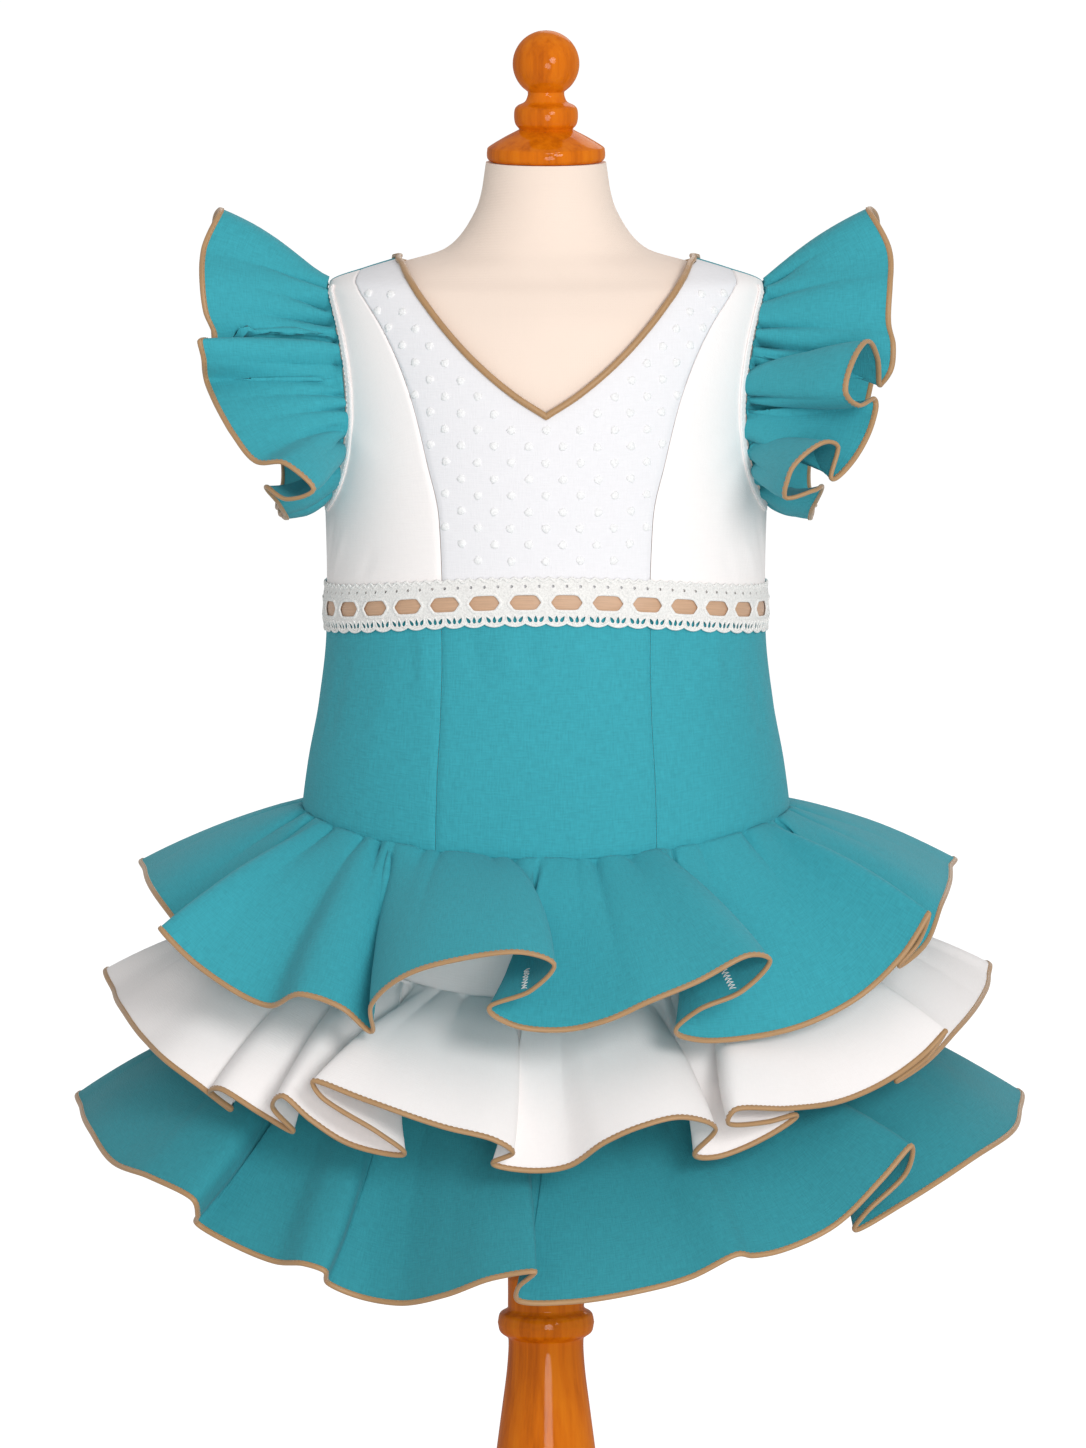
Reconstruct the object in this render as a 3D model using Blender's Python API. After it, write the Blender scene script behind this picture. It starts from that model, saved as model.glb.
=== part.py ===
# Child's flamenco dress, worn by a limbless dress form on a turned wooden stand.
# Units are metres, +Z is up and the dress faces -Y. The origin is on the floor,
# under the middle of the stand. A bearing is an angle round the body in degrees:
# 0 is the centre front, 90 the +X side and 180 the centre back.

import math

import bpy
import numpy as np

# Driving dimensions of the cloth
CLOTH = 0.0012            # wall of every crepe, batiste and ribbon piece
SEAM_GAP = 0.0003         # clearance between two sewn pieces
BINDING_RADIUS = 0.0017   # bias binding rolled round the hem of a ruffle
FOLD_SHARE = 0.3          # of a stretch's length, which its moved copy keeps in a tight fold
FOLD_ROUNDS, FOLD_EASE = 40, 0.9   # how often, and by what share, a tight fold's wall is eased
FORM_CLEARANCE = 0.0029   # from the cloth's outer face to the padded form

# Outer face of the worn cloth: height, half width, depth to the front and back
BODY_STATIONS = (
    # z, half_width, front, back
    (0.4150, 0.1250, 0.1015, 0.0995),
    (0.4490, 0.1220, 0.0980, 0.0960),
    (0.4720, 0.1190, 0.0955, 0.0920),
    (0.5020, 0.1135, 0.0915, 0.0855),
    (0.5380, 0.1097, 0.0878, 0.0800),
    (0.5650, 0.1094, 0.0855, 0.0785),
    (0.6030, 0.1102, 0.0825, 0.0790),
    (0.6400, 0.1108, 0.0785, 0.0780),
    (0.6700, 0.1110, 0.0735, 0.0750),
    (0.6950, 0.1108, 0.0650, 0.0690),
    (0.7080, 0.1100, 0.0570, 0.0625),
    (0.7127, 0.1070, 0.0535, 0.0590),
    (0.7186, 0.0910, 0.0475, 0.0530),
    (0.7240, 0.0735, 0.0435, 0.0480),
    (0.7301, 0.0530, 0.0395, 0.0430),
    (0.7351, 0.0465, 0.0375, 0.0400),
    (0.7426, 0.0410, 0.0350, 0.0370),
    (0.7526, 0.0362, 0.0330, 0.0345),
    (0.7626, 0.0340, 0.0322, 0.0330),
    (0.7715, 0.0328, 0.0318, 0.0322),
)

WAIST_SIDE, WAIST_FRONT, WAIST_BACK = 0.550, 0.561, 0.550   # seam under the lace
HIP_SIDE, HIP_FRONT, HIP_BACK = 0.449, 0.436, 0.452         # seam over the first ruffle

# Seams that cut the body into panels, as bearing and height from the bottom up
PRINCESS_SEAM = ((28.0, 0.5585), (28.8, 0.600), (32.3, 0.628), (37.0, 0.658),
                 (44.0, 0.684), (52.5, 0.702), (62.0, 0.7128), (76.0, 0.7168), (90.0, 0.7184))
HIP_PRINCESS_TOP, HIP_PRINCESS_FOOT = 28.5, 26.5
FRONT_NECKLINE = ((0.0, 0.6500), (7.5, 0.6589), (14.1, 0.6685), (19.9, 0.6780), (25.1, 0.6875),
                  (29.9, 0.6969), (34.6, 0.7062), (38.0, 0.7117), (41.1, 0.7144), (46.7, 0.7169),
                  (54.2, 0.7195), (64.8, 0.7219), (90.0, 0.7240))
BACK_NECKLINE = ((180.0, 0.7100), (160.0, 0.7120), (135.0, 0.7165), (110.0, 0.7215),
                 (90.0, 0.7240))
SHOULDER_TIP = 0.7120
UNDERARM = 0.603
ARMHOLE_REACH = 27.0      # bearing from the side line to the armhole's edge
ARMHOLE_BAND_WIDTH, ARMHOLE_BAND_WALL = 0.005, 0.0010
ARMHOLE_BAND_INSET = 0.0013   # from the armhole's edge
ARMHOLE_BAND_TURNS = (166, 24)
ARMHOLE_SQUARE, ARMHOLE_LEAN = 0.85, 0.12   # how square the armhole is, and how far its sides drop
METRES_PER_DEGREE = 0.0018   # along the body's surface near the armhole
NECK_BINDING_RADIUS = 0.0016
NECK_BINDING_GAP, NECK_BINDING_LIFT = 0.0007, 0.0009   # from the cloth's edge and its outer face

# Seams that carry the three skirt ruffles
RUFFLE_SEAMS = {
    # name: half_width, front, back, z_side, z_front, z_back, cut length of the ruffle
    "top": (0.1214, 0.0974, 0.0954, 0.4484, 0.4354, 0.4514, 0.110),
    "middle": (0.1360, 0.1090, 0.1070, 0.3970, 0.3660, 0.4000, 0.100),
    "bottom": (0.1510, 0.1230, 0.1200, 0.3450, 0.3080, 0.3480, 0.102),
}
UNDERSKIRT_INSET = 0.0016   # the underskirt hangs this far inside the ruffle seams
UNDERSKIRT_TUCK, UNDERSKIRT_SLOPE = 0.004, 0.30   # its run below the last seam
TOP_SWELL, LOWER_SWELL, SLEEVE_SWELL = 0.004, 0.003, 0.003   # how far each ruffle bows out
# How much a bend's seam place, hem place, flare and reach count in the smooth run between bends
SKIRT_WEIGHTS = (0.3, 3.3, 1.9, 50.0)
SLEEVE_WEIGHTS = (0.2, 1.3, 1.2, 30.0)
TURN_WEIGHT = 0.010       # metres of hem that one radian of bend counts as
SPLINE_STEPS = 14         # points from one bend to the next before the run is thinned
SKIRT_HEM_POINTS, SLEEVE_HEM_POINTS = 120, 56
SOFT_CREASE, CORD_CREASE, TURNED_CREASE = 35.0, 100.0, 50.0   # degrees, sharper edges stay sharp

# Each row is a bend of a ruffle's hem, from the left side round the front to the
# right side: where its fold leaves the seam, where it meets the hem, how far it
# flares from the vertical, all in degrees, and how much of its cut length it
# reaches where the cloth bows.
TOP_BENDS = (
    # seam, hem, flare, reach
    (-112, -113, 69, 1.00), (-100, -100, 67, 0.83), (-86, -85, 62, 0.77), (-75, -72, 53, 0.80),
    (-69, -64, 59, 0.93), (-65, -61, 67, 1.00), (-58, -55, 57, 1.00), (-50, -45, 48, 1.00),
    (-45, -37, 55, 1.00), (-42, -30.5, 52, 1.00), (-39, -27.5, 44, 1.00), (-35, -26, 54, 1.00),
    (-27, -20, 65, 1.00), (-18, -12, 71, 1.00), (-11, -3, 73.5, 1.00), (-7.5, 1.2, 70, 1.00),
    (-4, -2, 62, 1.00), (-1, -8, 56, 1.00), (1.5, -4.5, 50.5, 1.00), (4.5, 2.5, 49, 1.00),
    (8, 8.5, 52, 1.00), (13, 14, 57.5, 1.00), (19, 21, 63, 1.00), (24, 28.5, 69.5, 1.00),
    (26.5, 31.8, 67, 1.00), (28.5, 28.5, 58, 1.00), (30, 22.5, 53, 1.00), (31.5, 20, 46, 1.00),
    (34, 24.5, 41, 1.00), (38, 34, 39, 1.00), (44, 43, 40.5, 1.00), (52, 51, 48, 1.00),
    (59, 56, 60, 1.00), (63, 59, 72, 1.00), (67, 59, 63, 1.00), (71, 57, 57, 1.00),
    (76, 63, 60, 0.97), (82, 72, 66, 0.86), (89, 85, 66, 0.80), (100, 100, 68, 0.84),
    (112, 112, 70, 1.00),
)
MIDDLE_BENDS = (
    (-103, -103, 68, 1.00), (-94, -94, 62, 0.92), (-82, -80, 61, 0.90), (-71, -68, 59, 0.95),
    (-64, -60, 58, 1.00), (-59, -54, 52, 1.00), (-56, -50.5, 46, 1.00), (-53, -53, 51, 1.00),
    (-50, -49.5, 55, 1.00), (-46, -43, 49, 1.00), (-43, -39, 45, 1.00), (-40.5, -40.5, 54, 1.00),
    (-38.5, -37.5, 60, 1.00), (-36, -34, 53, 1.00), (-33.5, -29, 46, 1.00), (-31, -21, 46, 1.00),
    (-29, -24, 53, 1.00), (-27.5, -31.5, 63, 1.00), (-25, -32, 68, 1.00), (-21, -24, 65, 1.00),
    (-15, -14, 59.5, 1.00), (-10, -7, 56, 1.00), (-7, -4.5, 51, 1.00), (-4.5, -7.5, 46, 1.00),
    (-1.5, -2, 43.5, 1.00), (2.5, 3, 45.5, 1.00), (6, 8, 55, 1.00), (11, 13, 60, 1.00),
    (16, 18.5, 61.5, 1.00), (20.5, 24, 55, 1.00), (24, 22, 45, 1.00), (27, 26, 42, 1.00),
    (30, 33, 47, 1.00), (32.5, 36.5, 53, 1.00), (34.5, 32, 53, 1.00), (36.5, 25.5, 56, 1.00),
    (39, 26, 61, 1.00), (43, 35, 57, 1.00), (48, 44, 54, 1.00), (54, 52, 56, 1.00),
    (60, 58, 61, 1.00), (65, 62, 67, 1.00), (69, 60, 59, 1.00), (73, 55, 54, 1.00),
    (78, 60, 57, 1.00), (83, 71, 60, 0.94), (90, 85, 63, 0.92), (98, 97, 67, 0.96),
    (104, 103, 70, 1.00),
)
BOTTOM_BENDS = (
    (-101, -101, 62, 1.00), (-92, -92, 59, 0.94), (-80, -78, 58, 0.94), (-68, -66, 57, 1.00),
    (-60, -57, 59, 1.00), (-56, -49, 57, 1.00), (-53, -50, 50, 1.00), (-50, -52, 44.5, 1.00),
    (-46, -46, 39.5, 1.00), (-41, -40, 38.5, 1.00), (-37, -34, 43, 1.00), (-34, -31, 42, 1.00),
    (-31, -32, 34, 1.00), (-28, -28.5, 29.5, 1.00), (-23, -22, 31, 1.00), (-17, -14, 41, 1.00),
    (-11, -7, 51, 1.00), (-6, -1.3, 54, 1.00), (-2.5, -3.5, 47, 1.00), (0, -3.5, 41, 1.00),
    (3.5, 3, 40.5, 1.00), (11, 12, 43.5, 1.00), (17, 19, 47, 1.00), (22.5, 25, 53.5, 1.00),
    (26, 27.5, 51.5, 1.00), (30, 32, 51, 1.00), (35, 38.5, 55, 1.00), (41, 44, 67, 1.00),
    (46, 48, 75, 1.00), (50, 48.5, 66, 1.00), (54, 44, 56, 1.00), (58, 43.5, 50, 1.00),
    (62, 50, 54, 1.00), (67, 57, 58, 1.00), (73, 64, 61, 1.00), (81, 75, 62, 1.00),
    (90, 86, 62, 0.96), (99, 98, 63.5, 0.98),
)
# Flutes of the back, evenly spaced between the last bend and the first
BACK_FLUTES = {"top": 3, "middle": 3, "bottom": 4}
# One back flute: shares of the spacing along the seam and the hem, and the flare
BACK_FLUTE = ((-0.44, -0.40, 49), (-0.22, -0.24, 57), (-0.03, -0.01, 67), (0.08, 0.10, 64),
              (0.18, 0.09, 54), (0.30, 0.16, 47.5))
BACK_FLUTE_RISE = 2       # its bends before the crest, which the last gap has alone

# Sleeve ruffles: an angle round the armhole is 0 at the shoulder tip, 90 at its
# front edge, 180 under the arm and 270 at the back. A flare of 0 stands straight
# out to the side and 90 lies flat against the body.
SLEEVE_LENGTH = 0.069
SLEEVE_SEAM_LIFT, SLEEVE_SEAM_INSET = 0.0008, 0.0006   # out from the cloth, and into the armhole
SLEEVE_LEFT_BENDS = (
    # seam, hem, flare, reach
    (0, 2, 33, 0.92), (16, 20, 20, 0.94), (32, 36, 18, 0.97), (44, 49, 13, 0.95),
    (52, 57, 10, 0.90), (59, 64, 21, 1.07), (66, 70, 17, 1.03), (74, 76, 8, 0.99),
    (83, 86, 20, 0.97), (91, 95, 35, 0.96), (98, 101, 50, 0.97), (104, 100, 65, 0.98),
    (111, 106, 78, 0.98), (118, 110, 66, 0.97), (125, 110, 52, 0.88), (134, 120, 50, 0.68),
    (146, 138, 42, 0.46), (160, 158, 25, 0.36), (180, 180, 12, 0.32),
)
SLEEVE_RIGHT_BENDS = (
    (0, 2, 34, 0.91), (16, 22, 19, 0.95), (31, 38, 17, 0.97), (42, 53, 13, 0.98),
    (50, 63, 14, 1.04), (57, 73, 12, 1.03), (62, 78, 10, 0.96), (67, 70, 22, 0.98),
    (72, 67, 34, 1.00), (77, 75, 44, 1.00), (82, 83, 47, 1.00), (86, 87, 38, 1.00),
    (90, 86, 25, 1.00), (96, 93, 29, 1.00), (102, 102, 43, 1.00), (107, 105, 54, 1.00),
    (111, 97, 50, 1.00), (115, 95, 57, 1.00), (120, 101, 73, 1.00), (126, 108, 76, 1.00),
    (132, 108, 62, 0.98), (138, 110, 53, 0.86), (146, 126, 46, 0.60), (160, 154, 28, 0.38),
    (180, 180, 12, 0.32),
)
SLEEVE_BACK_BENDS = (
    (204, 204, 22, 0.38), (222, 220, 38, 0.54), (236, 240, 52, 0.72), (248, 250, 56, 0.88),
    (258, 250, 40, 0.92), (268, 262, 24, 0.95), (284, 284, 14, 0.97), (302, 304, 16, 0.97),
    (320, 322, 24, 0.96), (342, 344, 32, 0.95),
)

# Lace band with ribbon windows, round the waist seam
LACE_HEIGHT = 0.0235
LACE_WALL = 0.0010
RIBBON_HEIGHT, RIBBON_WALL = 0.0115, 0.0010
WINDOWS_FRONT, WINDOWS_BACK = 14, 16
WINDOW_WIDTH, WINDOW_SHOULDER, WINDOW_HEIGHT = 0.0175, 0.0110, 0.0088
SCALLOP_DEPTH = 0.0018
LACE_SLACK, RIBBON_SLACK = 0.0007, 0.0005   # how far each stands off what it lies on

# Dress form and stand
NECK_TOP = 0.7715
FORM_BOTTOM = 0.350
FORM_FOOT = ((FORM_BOTTOM, 0.78), (0.356, 0.84), (0.385, 0.93), (0.425, 0.968), (0.452, 0.982))
FORM_HEIGHTS = (0.472, 0.505, 0.545, 0.590, 0.635, 0.670, 0.692, 0.704, 0.7105, 0.7150,
                0.7200, 0.7250, 0.7305, 0.7370, 0.7470, 0.7600)
CAP_PROFILE = (
    # radius, height above the neck
    (0.0, 0.0003), (0.0278, 0.0003), (0.0293, 0.0022), (0.0293, 0.0058), (0.0282, 0.0078),
    (0.0205, 0.0125), (0.0142, 0.0158), (0.0135, 0.0166), (0.0152, 0.0188), (0.0159, 0.0222),
    (0.0156, 0.0262), (0.0140, 0.0282), (0.0106, 0.0300), (0.0092, 0.0330), (0.0091, 0.0350),
)
FINIAL_RADIUS, FINIAL_CENTRE = 0.0166, 0.0489
COLUMN_PROFILE = (
    # radius, height above the floor
    (0.0, 0.0263), (0.0230, 0.0263), (0.0295, 0.0300), (0.0300, 0.0350), (0.0245, 0.0400),
    (0.0215, 0.0470), (0.0235, 0.0620), (0.0262, 0.0850), (0.0266, 0.1000), (0.0256, 0.1160),
    (0.0226, 0.1400), (0.0200, 0.1600), (0.0190, 0.1720), (0.0190, 0.1785), (0.0200, 0.1800),
    (0.0232, 0.1825), (0.0243, 0.1870), (0.0232, 0.1915), (0.0196, 0.1940), (0.0192, 0.1975),
    (0.0192, 0.2100), (0.0150, 0.2140), (0.0150, 0.3497), (0.0, 0.3497),
)
BASE_PROFILE = (
    (0.0, 0.0), (0.1380, 0.0), (0.1420, 0.0040), (0.1430, 0.0110), (0.1400, 0.0160),
    (0.1180, 0.0200), (0.0420, 0.0260), (0.0, 0.0260),
)

# Colours, linear
TEAL = (0.035, 0.36, 0.40)
WHITE = (0.86, 0.86, 0.87)
BEIGE = (0.56, 0.34, 0.18)
CREAM = (0.90, 0.75, 0.62)
WOOD = (0.55, 0.17, 0.02)


def clear_scene():
    for old in list(bpy.data.objects):
        bpy.data.objects.remove(old, do_unlink=True)


def material(name, colour, roughness):
    made = bpy.data.materials.new(name)
    made.use_nodes = True
    shader = made.node_tree.nodes["Principled BSDF"]
    shader.inputs["Base Color"].default_value = (*colour, 1.0)
    shader.inputs["Roughness"].default_value = roughness
    shader.inputs["Metallic"].default_value = 0.0
    return made


def monotone(knots, values, at):
    """A curve through the values that never overshoots them (Fritsch and Carlson)."""
    knots, values, at = (np.asarray(x, float) for x in (knots, values, at))
    steps = np.diff(knots)
    slopes = np.diff(values) / steps
    inner = np.zeros(len(values))
    same = slopes[:-1] * slopes[1:] > 0
    inner[1:-1][same] = 2 * slopes[:-1][same] * slopes[1:][same] / (slopes[:-1] + slopes[1:])[same]
    inner[0], inner[-1] = slopes[0], slopes[-1]
    i = np.clip(np.searchsorted(knots, at, side="right") - 1, 0, len(steps) - 1)
    t = (at - knots[i]) / steps[i]
    return (values[i] * (1 + 2 * t) * (1 - t) ** 2 + inner[i] * steps[i] * t * (1 - t) ** 2
            + values[i + 1] * t * t * (3 - 2 * t) - inner[i + 1] * steps[i] * t * t * (1 - t))


def body_surface(bearing, height, offset=0.0):
    """Points of the worn cloth's outer face, moved out by the offset."""
    bearing, height = np.broadcast_arrays(np.radians(bearing), np.asarray(height, float))
    stations = np.array(BODY_STATIONS)
    sizes = [monotone(stations[:, 0], stations[:, i], height) for i in (1, 2, 3)]
    width, depth = sizes[0], np.where(np.cos(bearing) > 0, sizes[1], sizes[2])
    normal = np.stack([np.sin(bearing) / width, -np.cos(bearing) / depth], -1)
    normal /= np.linalg.norm(normal, axis=-1, keepdims=True)
    return np.stack([width * np.sin(bearing) + offset * normal[..., 0],
                     -depth * np.cos(bearing) + offset * normal[..., 1], height], -1)


def body_normal(bearing, height):
    """Unit normals of the worn cloth."""
    small_angle, small_height = 0.05, 0.0002
    along = body_surface(bearing + small_angle, height) - body_surface(bearing - small_angle, height)
    up = body_surface(bearing, height + small_height) - body_surface(bearing, height - small_height)
    normal = np.cross(along, up)
    return normal / np.linalg.norm(normal, axis=-1, keepdims=True)


def seam_height(bearing, side, front, back):
    """Height of a seam that rises or falls from the side to the front and back."""
    along = np.cos(np.radians(bearing))
    return side + np.where(along > 0, front - side, back - side) * along**2


def waist_height(bearing):
    return seam_height(bearing, WAIST_SIDE, WAIST_FRONT, WAIST_BACK)


def hip_height(bearing):
    return seam_height(bearing, HIP_SIDE, HIP_FRONT, HIP_BACK)


def grid_faces(rows, columns, closed):
    """Quads of a grid, counted row by row; closed joins the last column to the first."""
    count = columns if closed else columns - 1
    faces = []
    for i in range(rows - 1):
        for j in range(count):
            k = (j + 1) % columns
            faces.append((i * columns + j, i * columns + k, (i + 1) * columns + k, (i + 1) * columns + j))
    return faces


def add_mesh(name, points, faces, finish, smooth_angle=SOFT_CREASE):
    mesh = bpy.data.meshes.new(name)
    mesh.from_pydata([tuple(map(float, p)) for p in points], [], faces)
    mesh.materials.append(finish)
    mesh.update()
    mesh.shade_smooth()
    mesh.set_sharp_from_angle(angle=math.radians(smooth_angle))
    made = bpy.data.objects.new(name, mesh)
    bpy.context.scene.collection.objects.link(made)
    return made


def wall(name, outer, inner, faces, finish):
    """A closed wall between two matching point sets, with its rims filled."""
    count = len(outer)
    faces = [(face[0], face[i], face[i + 1]) for face in faces for i in range(1, len(face) - 1)]
    edges = [(a, b) for face in faces for a, b in zip(face, face[1:] + face[:1])]
    known = set(edges)
    rims = [(b, a, a + count, b + count) for a, b in edges if (b, a) not in known]
    inside = [tuple(i + count for i in reversed(face)) for face in faces]
    return add_mesh(name, np.concatenate([outer, inner]), faces + inside + rims, finish)


def pulled_in(grid, amount):
    """The grid with its border moved inwards, which leaves half a seam's gap."""
    grid = grid.copy()
    for axis in (0, 1):
        rows = np.moveaxis(grid, axis, 0)
        for edge, beside in ((0, 1), (-1, -2)):
            step = rows[beside] - rows[edge]
            length = np.linalg.norm(step, axis=-1, keepdims=True)
            rows[edge] += step / np.maximum(length, 1e-9) * amount
    return grid


def along_path(path, count):
    """Evenly spaced points of a bearing and height path, by its length on the body."""
    path = np.array(path, float)
    fine = np.linspace(0, len(path) - 1, 400)
    knots = np.arange(len(path))
    bearing = monotone(knots, path[:, 0], fine)
    height = monotone(knots, path[:, 1], fine)
    points = body_surface(bearing, height)
    length = np.concatenate([[0], np.cumsum(np.linalg.norm(np.diff(points, axis=0), axis=1))])
    at = np.linspace(0, length[-1], count)
    return np.stack([np.interp(at, length, bearing), np.interp(at, length, height)], -1)


def armhole_edge(turn):
    """Bearing and height on the +X side's armhole at a turn from the shoulder tip, in degrees."""
    turn = np.radians(np.asarray(turn, float))
    middle, half = (SHOULDER_TIP + UNDERARM) / 2, (SHOULDER_TIP - UNDERARM) / 2
    across = np.sign(np.sin(turn)) * np.abs(np.sin(turn)) ** ARMHOLE_SQUARE
    return 90.0 - ARMHOLE_REACH * across, middle + half * np.cos(turn + ARMHOLE_LEAN * np.sin(turn))


def between(left, right, across):
    """Rows of bearing and height from one path to another that has as many points."""
    share = np.linspace(0, 1, across)[None, :, None]
    return left[:, None, :] * (1 - share) + right[:, None, :] * share


def body_panel(name, left, right, finish, across, offset=0.0, thick=CLOTH):
    """A wall between two paths; a foot that lies on the waist seam follows its curve."""
    chart = between(left, right, across)
    if abs(left[0, 1] - waist_height(left[0, 0])) < SEAM_GAP:
        chart[0, :, 1] = waist_height(chart[0, :, 0])
    outer = body_surface(chart[..., 0], chart[..., 1], offset)
    outer = pulled_in(outer, SEAM_GAP / 2)
    inner = outer - thick * body_normal(chart[..., 0], chart[..., 1])
    faces = grid_faces(len(left), across, False)
    return wall(name, outer.reshape(-1, 3), inner.reshape(-1, 3), faces, finish)


def mirrored(path):
    """The same path on the other side of the body."""
    return path * np.array([-1.0, 1.0])


def side_path(rows, toward_back):
    """Up the side seam from the waist and round one edge of the armhole to the shoulder."""
    up = 3
    turns = np.linspace(180, 360, rows - up) if toward_back else np.linspace(180, 0, rows - up)
    bearing, height = armhole_edge(turns)
    side = np.stack([np.full(up, 90.0), np.linspace(WAIST_SIDE, UNDERARM, up + 1)[:-1]], -1)
    return np.concatenate([side, np.stack([bearing, height], -1)])


def build_bodice(white, dotted, teal):
    rows = 13
    princess = along_path(PRINCESS_SEAM, rows)
    princess[0, 1] = waist_height(princess[0, 0])
    below = 7
    centre = np.stack([np.zeros(below), np.linspace(WAIST_FRONT, FRONT_NECKLINE[0][1], below)], -1)
    neckline = along_path(FRONT_NECKLINE, rows - below + 1)[1:]
    inner_edge = np.concatenate([centre, neckline])
    build_front_centre(dotted, inner_edge, princess, below)
    front_side = side_path(rows, False)
    body_panel("bodice_front_right", princess, front_side, white, 6)
    body_panel("bodice_front_left", mirrored(front_side), mirrored(princess), white, 6)
    back_below = 9
    back_centre = np.stack([np.full(back_below, 180.0),
                            np.linspace(WAIST_BACK, BACK_NECKLINE[0][1], back_below)], -1)
    back_neck = along_path(BACK_NECKLINE, rows - back_below + 1)[1:]
    back_inner = np.concatenate([back_centre, back_neck])
    back_side = side_path(rows, True)
    body_panel("bodice_back_right", back_side, back_inner, teal, 8)
    body_panel("bodice_back_left", mirrored(back_inner), mirrored(back_side), teal, 8)


def build_front_centre(finish, inner_edge, outer_edge, below):
    """The dotted front: one piece up to the point of the V, and a strap on each side of it."""
    across = 4
    chart = between(inner_edge, outer_edge, across)
    chart[0, :, 1] = waist_height(chart[0, :, 0])
    face = body_surface(chart[..., 0], chart[..., 1])
    for edge, beside in ((face[0], face[1]), (face[-1], face[-2]), (face[:, -1], face[:, -2])):
        step = beside - edge
        edge += step / np.linalg.norm(step, axis=-1, keepdims=True) * SEAM_GAP / 2
    back = face - CLOTH * body_normal(chart[..., 0], chart[..., 1])
    rows = len(inner_edge)
    flip = np.array([-1.0, 1.0, 1.0])
    index = np.arange(2 * rows * across).reshape(2, rows, across)
    index[1, :below, 0] = index[0, :below, 0]
    used, index = np.unique(index, return_inverse=True)
    right, left = index.reshape(2, rows, across).tolist()
    faces = []
    for i in range(rows - 1):
        for j in range(across - 1):
            faces.append((right[i][j], right[i][j + 1], right[i + 1][j + 1], right[i + 1][j]))
            faces.append((left[i][j + 1], left[i][j], left[i + 1][j], left[i + 1][j + 1]))
    outer, inner = (np.concatenate([side, side * flip]).reshape(-1, 3)[used] for side in (face, back))
    wall("bodice_front_centre", outer, inner, faces, finish)


def build_hip_panels(teal):
    rows = 5
    share = np.linspace(0, 1, rows)

    def edge(top, foot):
        bearing = foot + (top - foot) * share
        low, high = hip_height(foot), waist_height(top)
        return np.stack([bearing, low + (high - low) * share], -1)

    seams = {"princess": edge(HIP_PRINCESS_TOP, HIP_PRINCESS_FOOT), "side": edge(90.0, 90.0),
             "back": edge(180.0, 180.0)}
    hip_panel("hip_front_centre", mirrored(seams["princess"]), seams["princess"], teal, 7)
    hip_panel("hip_front_right", seams["princess"], seams["side"], teal, 6)
    hip_panel("hip_front_left", mirrored(seams["side"]), mirrored(seams["princess"]), teal, 6)
    hip_panel("hip_back_right", seams["side"], seams["back"], teal, 8)
    hip_panel("hip_back_left", mirrored(seams["back"]), mirrored(seams["side"]), teal, 8)


def hip_panel(name, left, right, finish, across):
    """A hip panel whose top and foot follow the curved waist and hip seams."""
    rows = len(left)
    share = np.linspace(0, 1, across)
    bearing = left[:, :1] * (1 - share) + right[:, :1] * share
    up = np.linspace(0, 1, rows)[:, None]
    low, high = hip_height(bearing), waist_height(bearing)
    height = low + (high - low) * up
    outer = pulled_in(body_surface(bearing, height), SEAM_GAP / 2)
    inner = outer - CLOTH * body_normal(bearing, height)
    wall(name, outer.reshape(-1, 3), inner.reshape(-1, 3), grid_faces(rows, across, False), finish)


def closed_spline(rows, weights):
    """A smooth closed run through the rows. The first column never turns back."""
    rows = np.array(rows, float)
    count = len(rows)
    turn = np.zeros(rows.shape[1])
    turn[:2] = 360.0
    laps = np.concatenate([rows[-2:] - turn, rows, rows[:3] + turn])
    gaps = np.linalg.norm(np.diff(laps, axis=0) * weights, axis=1) ** 0.5
    knots = np.concatenate([[0], np.cumsum(gaps)])
    points = []
    for i in range(2, count + 2):
        p, t = laps[i - 1:i + 3], knots[i - 1:i + 3]
        for s in np.linspace(t[1], t[2], SPLINE_STEPS, endpoint=False):
            a = [p[k] * (t[k + 1] - s) / (t[k + 1] - t[k]) + p[k + 1] * (s - t[k]) / (t[k + 1] - t[k])
                 for k in range(3)]
            b = [a[k] * (t[k + 2] - s) / (t[k + 2] - t[k]) + a[k + 1] * (s - t[k]) / (t[k + 2] - t[k])
                 for k in range(2)]
            points.append(b[0] * (t[2] - s) / (t[2] - t[1]) + b[1] * (s - t[1]) / (t[2] - t[1]))
    points = np.array(points)
    sample = np.concatenate([np.linspace(knots[i], knots[i + 1], SPLINE_STEPS, endpoint=False)
                             for i in range(2, count + 2)])
    points[:, 0] = monotone(knots, laps[:, 0], sample)
    return points


def thinned(run, hem, count):
    """Picks the run's points by the hem's length and by how sharply it turns."""
    step = np.roll(hem, -1, axis=0) - hem
    length = np.linalg.norm(step, axis=1)
    unit = step / length[:, None]
    bend = np.arccos(np.clip((unit * np.roll(unit, 1, axis=0)).sum(1), -1, 1))
    measure = np.concatenate([[0], np.cumsum(length + TURN_WEIGHT * (bend + np.roll(bend, -1)) / 2)])
    at = np.linspace(0, measure[-1], count, endpoint=False)
    whole = np.concatenate([run, run[:1]])
    whole[-1, :2] += 360.0
    return np.stack([np.interp(at, measure, whole[:, i]) for i in range(run.shape[1])], -1)


def seam_point(size, bearing, inset=0.0):
    """Points and level normals of an oval seam that rises or falls to the front and back."""
    width, front, back, side, z_front, z_back = size[:6]
    angle = np.radians(bearing)
    depth = np.where(np.cos(angle) > 0, front, back)
    normal = np.stack([np.sin(angle) / width, -np.cos(angle) / depth, np.zeros_like(angle)], -1)
    normal /= np.linalg.norm(normal, axis=-1, keepdims=True)
    point = np.stack([width * np.sin(angle), -depth * np.cos(angle),
                      seam_height(bearing, side, z_front, z_back)], -1)
    return point - inset * normal, normal


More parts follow.
